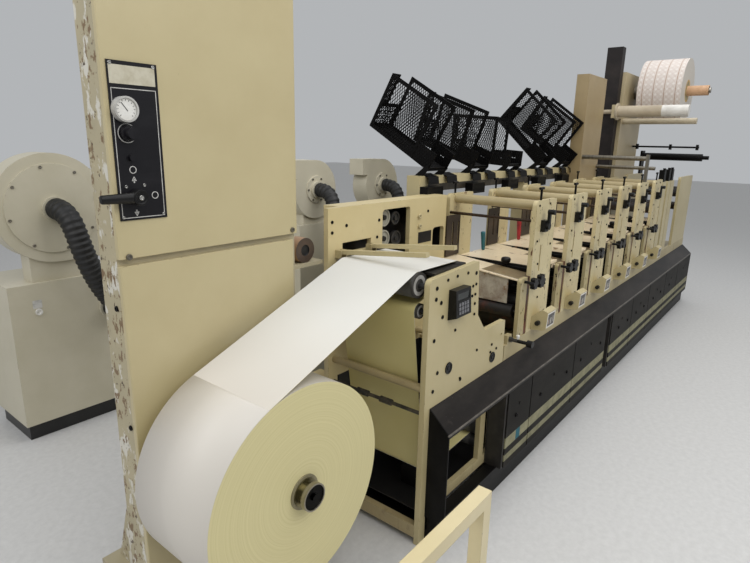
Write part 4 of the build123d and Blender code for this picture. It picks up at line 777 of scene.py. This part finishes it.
# %% [markdown]
# New pieces are made the way they would be by hand: a primitive, some faces picked by their
# place or direction, an edit-mode tool, and modifiers that are applied. The meshes could also be
# typed in point by point, but then nobody could follow how they came about. These helpers pick
# faces, apply a modifier, and give a finished piece its name, its finish and its body.


# %% Helpers for modelling
def fresh():
    """Leaves edit mode and deselects everything, so that no tool acts on the CAD nodes."""
    if bpy.context.object and bpy.context.object.mode != "OBJECT":
        bpy.ops.object.mode_set(mode="OBJECT")
    bpy.ops.object.select_all(action="DESELECT")


def pick(test, kind="FACE"):
    """Selects the faces, or corners, of the active piece that pass, and stays in edit mode."""
    piece = bpy.context.object
    bpy.ops.object.mode_set(mode="EDIT")
    bpy.ops.mesh.select_mode(type=kind)
    bpy.ops.mesh.select_all(action="DESELECT")
    bpy.ops.object.mode_set(mode="OBJECT")
    if kind == "FACE":
        for face in piece.data.polygons:
            face.select = bool(test(face.center, face.normal))
    else:
        for corner in piece.data.vertices:
            corner.select = bool(test(corner.co))
    bpy.ops.object.mode_set(mode="EDIT")


def apply_modifier(kind, **settings):
    """Adds a modifier to the active piece and applies it."""
    piece = bpy.context.object
    modifier = piece.modifiers.new(kind.title(), kind)
    for key, value in settings.items():
        setattr(modifier, key, value)
    bpy.ops.object.modifier_apply(modifier=modifier.name)


def settle(piece, name, finish, body="press"):
    """Puts the piece's place into its mesh and gives it a name, a finish and a body."""
    fresh()
    piece.select_set(True)
    bpy.context.view_layer.objects.active = piece
    bpy.ops.object.transform_apply(location=True, rotation=True, scale=True)
    piece.name = name
    piece.data.materials.clear()
    piece.data.materials.append(finish)
    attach(piece, body)
    return piece


# %% [markdown]
# What repeats is modelled once, as a pattern, and copied to its places. Linked copies would
# share one mesh, but each place has to be inside its own mesh, so every copy gets a mesh of its
# own and like copies are joined into one piece.


# %% Helpers for repeated parts
fitted = {}  # how many copies each piece holds


def join(parts):
    """Joins the parts into the first of them."""
    fresh()
    for part in parts:
        part.select_set(True)
    bpy.context.view_layer.objects.active = parts[0]
    if len(parts) > 1:
        bpy.ops.object.join()
    return bpy.context.object


def copies(pattern, places):
    """Copies a pattern's mesh to each place and joins the copies into one piece."""
    made = []
    for place in places:
        twin = pattern.copy()
        twin.data = pattern.data.copy()
        bpy.context.scene.collection.objects.link(twin)
        twin.data.transform(place if isinstance(place, Matrix) else Matrix.Translation(place))
        made.append(twin)
    return join(made)


def discard(pattern):
    """Removes a pattern and its mesh once its copies are made."""
    data = pattern.data
    bpy.data.objects.remove(pattern)
    bpy.data.meshes.remove(data)


def fit(pattern, places, name, finish, body="press"):
    """Copies the pattern to its places as one finished piece, and throws the pattern away."""
    piece = copies(pattern, places)
    discard(pattern)
    fitted[name] = len(places)
    return settle(piece, name, finish, body)


def spread(pattern, y, spots, name, finish, body="press"):
    """Fits the pattern to spots on an upright face, given as X and Z in millimetres."""
    return fit(pattern, [(x / 1000, y, z / 1000) for x, z in spots], name, finish, body)


# %% [markdown]
# The guards are cages of expanded metal: a sheet that is slit and pulled, so that it opens in
# staggered diamonds, inside a frame of flat bar. A picture of mesh on a plate would look flat
# from the side, and single strands would be thousands of pieces. So a sheet starts as a grid
# turned by 45 degrees and squeezed to the diamond's shape, Bisect cuts it to its outline, and
# Wireframe turns the edges that are left into strands.


# %% Expanded metal and flat bar
def diamond_sheet(width, height, long_mm=34, short_mm=17, strand_mm=6.0):
    """A sheet of diamonds from (0, 0) to (width, height) in X and Y."""
    fresh()
    reach = 1.1 * max(width / (short_mm / 1000), height / (long_mm / 1000))
    count = 2 * math.ceil(reach)
    bpy.ops.mesh.primitive_grid_add(x_subdivisions=count, y_subdivisions=count, size=count)
    sheet = bpy.context.object
    diagonal = math.sqrt(2)
    sheet.data.transform(Matrix.Rotation(math.pi / 4, 4, "Z"))
    sheet.data.transform(Matrix.Diagonal((short_mm / 1000 / diagonal, long_mm / 1000 / diagonal,
                                          1, 1)))
    sheet.data.transform(Matrix.Translation((width / 2, height / 2, 0)))
    bpy.ops.object.mode_set(mode="EDIT")
    for point, normal in (((0, 0, 0), (-1, 0, 0)), ((width, 0, 0), (1, 0, 0)),
                          ((0, 0, 0), (0, -1, 0)), ((0, height, 0), (0, 1, 0))):
        bpy.ops.mesh.select_all(action="SELECT")
        bpy.ops.mesh.bisect(plane_co=point, plane_no=normal, clear_outer=True)
    bpy.ops.object.mode_set(mode="OBJECT")
    apply_modifier("WIREFRAME", thickness=strand_mm / 1000, use_even_offset=False)
    return sheet


def rim_only(bar, thick):
    """Keeps a rim of the active flat piece and gives it a thickness."""
    pick(lambda centre, normal: True)
    bpy.ops.mesh.inset(thickness=bar, depth=0)
    bpy.ops.mesh.delete(type="FACE")
    bpy.ops.object.mode_set(mode="OBJECT")
    apply_modifier("SOLIDIFY", thickness=thick, offset=0)
    return bpy.context.object


def flat_frame(width, height, bar, thick):
    """A frame of flat bar from (0, 0) to (width, height) in X and Y."""
    fresh()
    bpy.ops.mesh.primitive_plane_add(size=1.0, location=(width / 2, height / 2, 0))
    bpy.context.object.scale = (width, height, 1)
    bpy.ops.object.transform_apply(location=True, scale=True)
    return rim_only(bar, thick)


mesh_sample = diamond_sheet(0.1, 0.1)
print("faces in 100 mm square of mesh:", len(mesh_sample.data.polygons))
discard(mesh_sample)

# %% [markdown]
# One cage has a top sheet, two L-shaped cheeks, made of two rectangles each, and a front sheet
# that leaves room for the tube. Each could be drawn where it stands open, but at five different
# angles. So it is built shut over its unit, where all its sides are square to the axes, and each
# copy is swung up about its own hinge by the angle at which it stands open.

# %% Sizes of a cage
AXIS_X, AXIS_Y, AXIS_Z = (1, 0, 0), (0, 1, 0), (0, 0, 1)
BAR, WIDE_BAR, BAR_THICK = 0.022, 0.05, 0.002
cage_width, cage_reach, cage_drop = 0.190, 0.490, 0.325
notch_back, notch_low = 0.131, 0.103
foot_width = 0.076                 # the front sheet is narrow below the tube
tube_low = 1.397 + 0.026 + 0.006   # the tube's axis, its radius and a gap
hinge_y, hinge_z = hinges["guard_swing_1"]["pos_m"][1:]
cage_back, cage_top = hinge_y + 0.012, hinge_z + 0.012
cage_front, cage_bottom = cage_back - cage_reach, cage_top - cage_drop
print("a shut cage reaches from", round(cage_front, 3), "to", round(cage_back, 3))


# %% Build one cage
def stand_sheet(item, origin, along, upward):
    """Turns a flat sheet so that its X runs along and its Y upward, from the origin."""
    along, upward = Vector(along), Vector(upward)
    turned = Matrix((along, upward, along.cross(upward))).transposed().to_4x4()
    item.data.transform(Matrix.Translation(origin) @ turned)
    return item


def cage_parts(x0):
    """Each flat part of a cage: its corner, its two directions and its size."""
    half = BAR_THICK / 2
    parts = []
    for x in (x0 + half, x0 + cage_width - half):
        parts.append(((x, cage_front, cage_bottom), AXIS_Y, AXIS_Z,
                      cage_reach - notch_back, cage_drop))
        parts.append(((x, cage_back - notch_back, cage_top - notch_low), AXIS_Y, AXIS_Z,
                      notch_back, notch_low))
    front = cage_front + half
    parts.append(((x0, cage_front, cage_top - half), AXIS_X, AXIS_Y, cage_width, cage_reach))
    parts.append(((x0, front, tube_low), AXIS_X, AXIS_Z, cage_width, cage_top - tube_low))
    parts.append(((x0, front, cage_bottom), AXIS_X, AXIS_Z, foot_width, tube_low - cage_bottom))
    return parts


first_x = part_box("guard_1")[0][0]
strands, bars = [], []
for corner, along, upward, width, height in cage_parts(first_x):
    strands.append(stand_sheet(diamond_sheet(width, height), corner, along, upward))
    bar = WIDE_BAR if width == notch_back else BAR
    bars.append(stand_sheet(flat_frame(width, height, bar, BAR_THICK), corner, along, upward))
cage = join(bars + strands)
print("faces in one cage:", len(cage.data.polygons))

# %% Hang the five cages
pin = Vector((0, hinge_y, hinge_z))
lift_angles = [-hinges[f"guard_swing_{k}"]["range_deg"][0] for k in range(1, 6)]
for k, lift in enumerate(lift_angles, 1):
    shift = Vector((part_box(f"guard_{k}")[0][0] - first_x, 0, 0))
    swung = Matrix.Rotation(math.radians(lift - 180), 4, "X")
    hung = copies(cage, [Matrix.Translation(pin + shift) @ swung @ Matrix.Translation(-pin)])
    settle(hung, f"Guard_cage_{k}", black_paint, f"guard_body_{k}")
    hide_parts(f"guard_{k}")
discard(cage)
print("cages hung:", len(lift_angles), "lifted by", lift_angles)

# %% [markdown]
# The hoses are wire-wound duct: a thin black skin that is drawn in between the turns of a steel
# wire. A plain swept tube with a bump would keep a smooth outline, so the ribs are modelled. One
# rib is a short cone and its mirror image, Array lines ribs up to the hose's length, and Curve
# bends the row along a smooth spline through the points of the CAD route.


# %% Helpers for hoses
def hose_line(name, points):
    """Draws a smooth line through the air, and reads its path back for the cord."""
    curve = bpy.data.curves.new(name, "CURVE")
    curve.dimensions = "3D"
    curve.resolution_u = 16
    line = curve.splines.new("NURBS")
    line.points.add(len(points) - 1)
    for point, (x, y, z) in zip(line.points, points):
        point.co = (x / 1000, y / 1000, z / 1000, 1.0)
    line.order_u = 3
    line.use_endpoint_u = True
    item = bpy.data.objects.new(name, curve)
    bpy.context.scene.collection.objects.link(item)
    bpy.context.view_layer.update()
    sampled = bpy.data.meshes.new_from_object(item)
    path = [vertex.co.copy() for vertex in sampled.vertices]
    bpy.data.meshes.remove(sampled)
    return item, path


def duct(name, node, points, diameter, pitch, depth):
    line, path = hose_line(name + "_line", points)
    length = sum((b - a).length for a, b in zip(path[:-1], path[1:]))
    count = round(length / pitch)
    half = length / count / 2
    fresh()
    bpy.ops.mesh.primitive_cone_add(vertices=40, radius1=diameter / 2 - depth,
                                    radius2=diameter / 2, depth=half, end_fill_type="NOTHING")
    rib = bpy.context.object
    rib.data.transform(Matrix.Translation((0, 0, -half / 2)))
    pick(lambda centre, normal: True)
    bpy.ops.mesh.subdivide(number_cuts=2)
    bpy.ops.object.mode_set(mode="OBJECT")
    apply_modifier("MIRROR", use_axis=(False, False, True), use_clip=True)
    rib.data.transform(Matrix.Translation((0, 0, half)))
    apply_modifier("ARRAY", count=count, use_relative_offset=False, use_constant_offset=True,
                   constant_offset_displace=(0, 0, 2 * half), use_merge_vertices=True,
                   merge_threshold=0.0002)
    apply_modifier("CURVE", object=line, deform_axis="POS_Z")
    bpy.ops.object.shade_smooth()
    settle(rib, name, hose_rubber)
    bpy.data.objects.remove(line)
    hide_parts(node)
    print(name, "ribs:", count, "length:", round(length, 3))


# %% Three hoses, with their routes in millimetres
large_route = [(-1565, 1886, 1311), (-1565, 1808, 1311), (-1550, 1748, 1260),
               (-1536, 1722, 1170), (-1512, 1712, 1060), (-1474, 1718, 950), (-1424, 1730, 850),
               (-1384, 1728, 785), (-1346, 1752, 722), (-1320, 1812, 700), (-1320, 1880, 700)]
small_route = [(-589, 836, 1433), (-589, 776, 1433), (-594, 728, 1390), (-600, 706, 1322),
               (-604, 694, 1232), (-603, 656, 1148), (-598, 594, 1084), (-592, 510, 1056),
               (-589, 440, 1050), (-589, 384.5, 1050)]
unit_route = [(x + 605, y, z) for x, y, z in small_route[:-2]]
unit_route += [(16, 400, 1050), (16, 299.5, 1050)]
duct("Large_duct", "large_blower_hose", large_route, 0.118, 0.030, 0.006)
duct("Small_duct", "small_blower_hose", small_route, 0.080, 0.024, 0.0045)
duct("Unit_duct", "unit_blower_hose", unit_route, 0.080, 0.024, 0.0045)

# %% [markdown]
# The loose end of the roll is its outermost layer. It lies round the roll and goes over into the
# straight web without a seam. A bent plane would be too coarse at its edges. So a thin upright
# rectangle, the section of the stock, is spun about the roll's axis from where the web leaves.


# %% Outermost layer of the roll
def outer_layer(inner, thick, width, start, swing):
    """Spins the section of the stock about the roll, from the start angle on."""
    fresh()
    axis = Vector((unwind_axis[0], 0, unwind_axis[2]))
    bpy.ops.mesh.primitive_plane_add(size=1.0)
    layer = bpy.context.object
    layer.data.transform(Matrix.Diagonal((thick, width, 1, 1)))
    layer.data.transform(Matrix.Translation((inner + thick / 2, 0, 0)))
    layer.data.transform(Matrix.Translation(axis) @ Matrix.Rotation(-start, 4, "Y"))
    pick(lambda centre, normal: True)
    bpy.ops.mesh.spin(steps=90, angle=swing, center=axis, axis=AXIS_Y)
    bpy.ops.mesh.select_all(action="SELECT")
    bpy.ops.mesh.normals_make_consistent(inside=False)
    bpy.ops.mesh.faces_shade_smooth()
    pick(lambda centre, normal: abs(normal.dot(
        Vector((centre.x - axis.x, 0, centre.z - axis.z)).normalized())) < 0.5)
    bpy.ops.mesh.faces_shade_flat()
    bpy.ops.object.mode_set(mode="OBJECT")
    return layer


ROLL_RADIUS, LAYER_THICK, WEB_WIDTH = 0.3723, 0.001, 0.387
# The web leaves at a right angle to its run, and 0.004 less keeps the two ends apart.
leave_angle = math.atan2(WEB_ALONG[0], -WEB_ALONG[2]) - 0.004
layer = outer_layer(ROLL_RADIUS, LAYER_THICK, WEB_WIDTH, leave_angle, math.radians(150))
settle(layer, "Outer_layer", label_stock)
print("outer layer from x", round(min(v.co.x for v in layer.data.vertices), 3))

# %% [markdown]
# Small fasteners are all over a machine like this one. The commonest is the socket cap screw: a
# short cylinder with a sunk socket in its head and a rounded rim. The sunk part could be a cut
# with a second shape, but two insets of the front face leave a cleaner mesh. Bearing caps, lids
# and keys are stepped in the same way, so one helper steps the face on any side.


# %% Helpers for turned and stepped parts
FRONT, UPWARDS = (0, -1, 0), (0, 0, 1)  # the operator stands on the -Y side


def disc(radius, depth, vertices=24):
    """A short cylinder that faces the operator, with its back in the plane y = 0."""
    fresh()
    bpy.ops.mesh.primitive_cylinder_add(vertices=vertices, radius=radius, depth=depth)
    piece = bpy.context.object
    turned = Matrix.Rotation(math.pi / 2, 4, "X")
    piece.data.transform(Matrix.Translation((0, -depth / 2, 0)) @ turned)
    return piece


def step_face(side, *steps):
    """Insets the faces that look to one side by each width, and moves them out by its depth."""
    pick(lambda centre, normal: normal.dot(Vector(side)) > 0.9)
    for width, depth in steps:
        bpy.ops.mesh.inset(thickness=width, depth=depth)
    bpy.ops.object.mode_set(mode="OBJECT")


def rounded(width):
    """Rounds the sharp edges of the active piece."""
    apply_modifier("BEVEL", width=width, segments=2, limit_method="ANGLE")
    return bpy.context.object


# %% Screw, cap and plate
def cap_screw(radius, height):
    """A screw head with a sunk socket."""
    disc(radius, height)
    step_face(FRONT, (radius * 0.5, 0), (radius * 0.04, -height * 0.6))
    return rounded(radius * 0.12)


def washered_hole(radius):
    """A dark bearing cap: a rim, a step down and a centre."""
    disc(radius, 0.005, 40)
    step_face(FRONT, (radius * 0.22, 0), (radius * 0.04, -0.003), (radius * 0.34, 0),
              (radius * 0.04, 0.003))
    return rounded(0.0006)


def small_plate(width, height, thick, rim=None):
    """An upright rectangular plate with its back in the plane y = 0."""
    plate = disc(math.sqrt(0.5), thick, 4)
    plate.data.transform(Matrix.Diagonal((width, 1, height, 1)) @
                         Matrix.Rotation(math.pi / 4, 4, "Y"))
    return rounded(rim) if rim else plate


# %% Screws of the unwind stand and the infeed plate
cover_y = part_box("unwind_covers")[0][1]
column_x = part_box("unwind_column")[0][0]
plate_x, plate_y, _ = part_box("infeed_operator_plate")[0]
spread(cap_screw(0.010, 0.006), cover_y, [(-2005, 1345), (-1334, 1355), (-2000, 600),
       (-1330, 500), (-1990, 2300), (-1340, 2300)], "Cover_screws", oiled_steel)
end_screw = cap_screw(0.009, 0.005)
end_screw.data.transform(Matrix.Rotation(-math.pi / 2, 4, "Z"))
fit(end_screw, [(column_x, 0.300, 1.178), (column_x, 0.285, 0.770)], "End_screws", black_paint)
spread(washered_hole(0.026), plate_y, [(-929, 778), (-520, 703)], "Bearing_caps", black_phenolic)
spread(cap_screw(0.0065, 0.004), plate_y, [(-971, 1170), (-897, 1173), (-809, 1171),
       (-731, 1108), (-758, 1104), (-782, 1091), (-734, 1063), (-761, 1060), (-733, 1020),
       (-731, 971), (-891, 938), (-683, 787), (-533, 771), (-481, 737), (-543, 735),
       (-826, 697)], "Plate_screws", black_paint)
plug_spots = [(1000 * plate_x + dx, z) for dx, z in ((52, 1150), (49, 1106), (88, 1084),
              (103, 1021), (48, 934), (367, 1158), (85, 784), (56, 711), (281, 690))]
spread(cap_screw(0.0085, 0.003), plate_y, plug_spots, "Hole_plugs", black_paint)
print("fitted so far:", fitted)

# %% Screws of the gear housing and the print units
housing_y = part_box("gear_housing")[0][1]
unit_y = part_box("unit_plates")[0][1]
spread(cap_screw(0.0075, 0.005), housing_y + 0.002, [(-1102, 1361), (-1009, 1338),
       (-1102, 1315), (-776, 1340), (-789, 1260), (-355, 1348)], "Housing_screws", black_paint)
spread(cap_screw(0.012, 0.012), housing_y, [(-439, 1328), (-435, 1275)], "Housing_bosses",
       cover_enamel)
screw_spots = [(1000 * PITCH * k + dx, z) for k in range(6) for dx, z in (
    (-100, 1400), (40, 1402), (92, 1360), (-92, 1215), (92, 1180), (-60, 1090), (70, 960),
    (-20, 900), (90, 800))]
spread(cap_screw(0.006, 0.004), unit_y, screw_spots, "Unit_plate_screws", black_paint)
print("screws on the units:", len(screw_spots))

# %% [markdown]
# Blower covers are held by a ring of bolts, so their places come from an angle and a radius, not
# from a list. The switch is a small plate with a round button, with no words on it.


# %% Blower covers
def bolt_circle(x, z, radius, angles):
    """Spots in millimetres round a centre."""
    return [(x + radius * math.cos(math.radians(a)), z + radius * math.sin(math.radians(a)))
            for a in angles]


large_front, small_front = 1.900, 0.850  # where the covers of the blowers face
spread(cap_screw(0.0085, 0.006), large_front, bolt_circle(-1565, 1311, 228, range(12, 372, 45)),
       "Large_blower_bolts", turned_steel)
small_bolts = [spot for x in (-589, 16) for spot in bolt_circle(x, 1433, 66, range(0, 360, 60))]
spread(cap_screw(0.006, 0.004), small_front, small_bolts, "Small_blower_bolts", oiled_steel)
fit(small_plate(0.0467, 0.0467, 0.0015, 0.0004), [(-1.714, large_front, 0.795)], "Switch_plate",
    screened_white)
spread(cap_screw(0.019, 0.012), large_front, [(-1712, 752)], "Switch_button", ball_white)
print("blower bolts:", fitted["Large_blower_bolts"] + fitted["Small_blower_bolts"])

# %% [markdown]
# Under the hinges of the guards the rear beam carries a black drive box for each unit and two
# bent straps that the open guard leans on. A strap could be bent with a modifier, but a press
# brake leaves sharp folds. So it is a flat plate whose edges are moved, then given its
# thickness. A box is a block with its front drawn in for the lid.


# %% Straps and boxes on the rear beam
def strap(width):
    """A folded plate: its back edge leans up on the beam, its front edge hangs down."""
    fresh()
    bpy.ops.mesh.primitive_grid_add(x_subdivisions=1, y_subdivisions=2, size=1.0)
    bpy.context.object.data.transform(Matrix.Diagonal((width, 0.11, 1, 1)))
    for side, move in ((1, (0, 0, 0.018)), (-1, (0, 0.049, -0.038))):
        pick(lambda corner: corner.y * side > 0.01, "VERT")
        bpy.ops.transform.translate(value=move)
        bpy.ops.object.mode_set(mode="OBJECT")
    apply_modifier("SOLIDIFY", thickness=0.005, offset=0)
    return rounded(0.0012)


def lidded_block(size, rim, sunk, side):
    """A block whose face on the given side has a rim round a sunk field."""
    fresh()
    bpy.ops.mesh.primitive_cube_add(size=1.0)
    bpy.context.object.data.transform(Matrix.Diagonal((*size, 1)))
    step_face(side, (rim, 0), (sunk, -sunk))
    return rounded(sunk)


guarded = [PITCH * k for k in range(5)]
fit(strap(0.106), [(x - 0.150, 0.362, 1.512) for x in guarded], "Near_straps", black_paint)
fit(strap(0.114), [(x + 0.051, 0.362, 1.512) for x in guarded], "Far_straps", black_paint)
fit(lidded_block((0.165, 0.052, 0.064), 0.008, 0.002, FRONT),
    [(x - 0.168, 0.3575, 1.430) for x in guarded], "Beam_boxes", black_paint)
print("straps:", fitted["Near_straps"] + fitted["Far_straps"], "boxes:", fitted["Beam_boxes"])

# %% [markdown]
# Each feed board ends in a black bar with a round knob on it. The knob is a cylinder whose rim
# is rounded so far that it turns into a dome.

# %% Bars and knobs of the boards
board_ends = [PITCH * k - 0.003 for k in range(6)]
fit(lidded_block((0.024, 0.44, 0.020), 0.003, 0.001, UPWARDS),
    [(x, 0.012, 1.034) for x in board_ends], "Board_bars", black_paint)
dome = disc(0.027, 0.030, 32)
dome.data.transform(Matrix.Rotation(-math.pi / 2, 4, "X"))
fit(rounded(0.011), [(x, -0.050, 1.058) for x in board_ends], "Board_knobs", black_phenolic)
print("bars:", fitted["Board_bars"], "knobs:", fitted["Board_knobs"])

# %% [markdown]
# The control panel is a thin black plate with marks screened on it in white. Screened ink could
# be a zone of its finish, but the marks are thin slanted lines. So they are modelled as films
# 0.4 mm thick: a border, rings round the push buttons, arrows for the lever. The gauge gets a
# dial with ticks and a needle. Its face has no words.


# %% Marks of the control panel
def flat_ring(radius, width, thick, vertices=48):
    """A ring round the origin in X and Y."""
    fresh()
    bpy.ops.mesh.primitive_circle_add(vertices=vertices, radius=radius, fill_type="NGON")
    return rim_only(width, thick)


FILM = 0.0004
panel_y = 0.2505  # the front of the panel
film_y = panel_y - FILM
upright = (AXIS_X, AXIS_Z)
marks = [stand_sheet(flat_frame(0.137, 0.372, 0.0022, FILM), (-2.0150, film_y, 1.4625), *upright)]
for x, z, r in ((-1.970, 1.605, 0.011), (-1.906, 1.527, 0.011), (-1.978, 1.710, 0.028)):
    marks.append(stand_sheet(flat_ring(r, 0.0022, FILM), (x, film_y, z), *upright))
for z, tip in ((1.577, 1), (1.476, -1)):
    arrow = flat_ring(0.009, 0.0018, FILM, 3)
    arrow.data.transform(Matrix.Rotation(math.pi / 2 * tip - math.pi / 2, 4, "Z"))
    marks.append(stand_sheet(arrow, (-1.969, film_y, z), *upright))
    stem = flat_frame(0.004, 0.011, 0.0016, FILM)
    marks.append(stand_sheet(stem, (-1.971, film_y, z - 0.005 * tip - 0.0055), *upright))
print("marks on the panel:", len(marks))
settle(join(marks), "Panel_marks", screened_white)

# %% Dial, blank plate and screws of the panel
ticks = []
for k in range(13):
    tick = flat_frame(0.0012, 0.005, 0.0004, FILM)
    tick.data.transform(Matrix.Translation((-0.0006, 0.0225, 0)))
    tick.data.transform(Matrix.Rotation(math.radians(135 - 22.5 * k), 4, "Z"))
    ticks.append(stand_sheet(tick, (GAUGE[0], 0.2321, GAUGE[1]), *upright))
needle = flat_frame(0.0018, 0.030, 0.0007, 0.0006)
needle.data.transform(Matrix.Translation((0, -0.007, 0)))
needle.data.transform(Matrix.Rotation(math.radians(38), 4, "Z"))
ticks.append(stand_sheet(needle, (GAUGE[0], 0.2317, GAUGE[1]), *upright))
print("ticks and needle:", len(ticks))
settle(join(ticks), "Gauge_ticks", black_phenolic)
fit(small_plate(0.1386, 0.0513, 0.0012, 0.0003), [(-1.9475, panel_y, 1.871)],
    "Panel_blank_plate", pale_plate)
spread(cap_screw(0.005, 0.003), panel_y, [(-1996, 1556), (-1939, 1559), (-2012, 1900),
       (-1883, 1900), (-2012, 1466), (-1883, 1468)], "Panel_screws", chromed_steel)

# %% [markdown]
# The selector lever is a moulded phenolic handle: a thick round hub with a screw through it and
# an arm that swells towards its end. It could be sculpted, but a moulding like this is two plain
# shapes with soft rims. A cylinder is laid along the arm, its end face is drawn in for the
# taper, and the rims are bevelled.

# %% Selector lever
LEVER = (-1.970, 1.525)  # X and Z of its shaft
disc(0.0235, 0.0295, 48)
step_face(FRONT, (0.006, 0), (0.001, -0.002))
hub = rounded(0.0035)
hub.data.transform(Matrix.Translation((LEVER[0], 0.2422, LEVER[1])))
arm_length = 0.108
arm = disc(0.0165, arm_length, 32)
arm.data.transform(Matrix.Diagonal((0.76, 1, 1, 1)))
pick(lambda centre, normal: normal.y < -0.9)
bpy.ops.transform.resize(value=(0.9, 1.0, 0.78), center_override=(0, -arm_length, 0))
bpy.ops.object.mode_set(mode="OBJECT")
arm = rounded(0.004)
arm.data.transform(Matrix.Rotation(-math.pi / 2, 4, "Z"))
arm.data.transform(Matrix.Translation((LEVER[0] - 0.008, 0.2262, LEVER[1])))
lever = settle(join([hub, arm]), "Selector_lever", black_phenolic, "selector_lever")
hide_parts("panel_lever")
spread(cap_screw(0.0075, 0.003), 0.2152, [(1000 * LEVER[0], 1000 * LEVER[1])], "Lever_screw",
       chromed_steel, "selector_lever")

# %% [markdown]
# The keypad has a dark window and three rows of four small keys on a sloped black face. Keys
# could be one plate with grooves, but each real key stands clear of the next. One key is a block
# with its top face drawn in, and the rest are copies down the slope.

# %% Keypad
FACE_TOP, FACE_HEIGHT, FACE_LEAN = 1.126, 0.114, 0.008  # the sloped face of the box
key = small_plate(0.01344, 0.01344, 0.003)
step_face(FRONT, (0.0015, 0.0006))
key.data.transform(Matrix.Rotation(-math.atan2(FACE_LEAN, FACE_HEIGHT), 4, "X"))
spots = []
for row in range(3):
    z = 1.064 - 0.017 * row
    y = plate_y - 0.034 - FACE_LEAN * (FACE_TOP - z) / FACE_HEIGHT
    spots += [(-0.930 + 0.021 * column, y + 0.0006, z) for column in range(4)]
fit(key, spots, "Keypad_keys", key_grey)
fit(small_plate(0.0877, 0.0288, 0.0010, 0.0003), [(-0.897, plate_y - 0.0332, 1.096)],
    "Keypad_window", display_glass)
print("keys:", fitted["Keypad_keys"])

# %% [markdown]
# Small coloured things draw the eye: the white ball on the register shaft, and the teal and red
# handles of the dryer trays between the units. Each is a turned or moulded stub. A sphere would
# be too round for them, so a cylinder's foot is drawn in and its ends are rounded.


# %% Ball and tray handles
def stub(radius, height, waist, name, finish, place, lean=0.0, body="press"):
    """An upright moulded handle with a narrower foot."""
    fresh()
    bpy.ops.mesh.primitive_cylinder_add(vertices=28, radius=radius, depth=height)
    item = bpy.context.object
    item.data.transform(Matrix.Translation((0, 0, height / 2)))
    pick(lambda centre, normal: normal.z < -0.9)
    bpy.ops.transform.resize(value=(waist, waist, 1), center_override=(0, 0, 0))
    bpy.ops.object.mode_set(mode="OBJECT")
    rounded(radius * 0.45)
    item.data.transform(Matrix.Translation(place) @ Matrix.Rotation(lean, 4, "Y"))
    return settle(item, name, finish, body)


handles = [
    stub(0.011, 0.024, 0.5, "Register_ball", ball_white, (-0.332, -0.300, 0.7500),
         body="register_shaft"),
    stub(0.014, 0.120, 0.75, "Teal_tray_handle", teal_plastic, (0.250, 0.225, 1.0555), -0.15),
    stub(0.016, 0.140, 0.70, "Red_tray_handle", red_plastic, (0.772, 0.225, 1.0555), -0.12)]
print("handles:", [item.name for item in handles])

# %% [markdown]
# The skirt doors are lifted off by round latches, which are the bearing cap made smaller. The
# gear housing has a bare plate where a name would be.

# %% Door latches and the blank plate
LATCH_Z = 380
latch_x = (-400, -90, 310, 560, 960, 1400, 1640, 1900, 2150, 2480, 2780, 3150)
spread(washered_hole(0.011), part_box("skirt_doors")[0][1] + 0.003, [(x, LATCH_Z) for x in latch_x],
       "Door_latches", black_paint)
fit(small_plate(0.1246, 0.0598, 0.0015, 0.0004), [(-0.3775, housing_y, 1.212)],
    "Housing_blank_plate", panel_black)
print("copies fitted in all:", sum(fitted.values()))
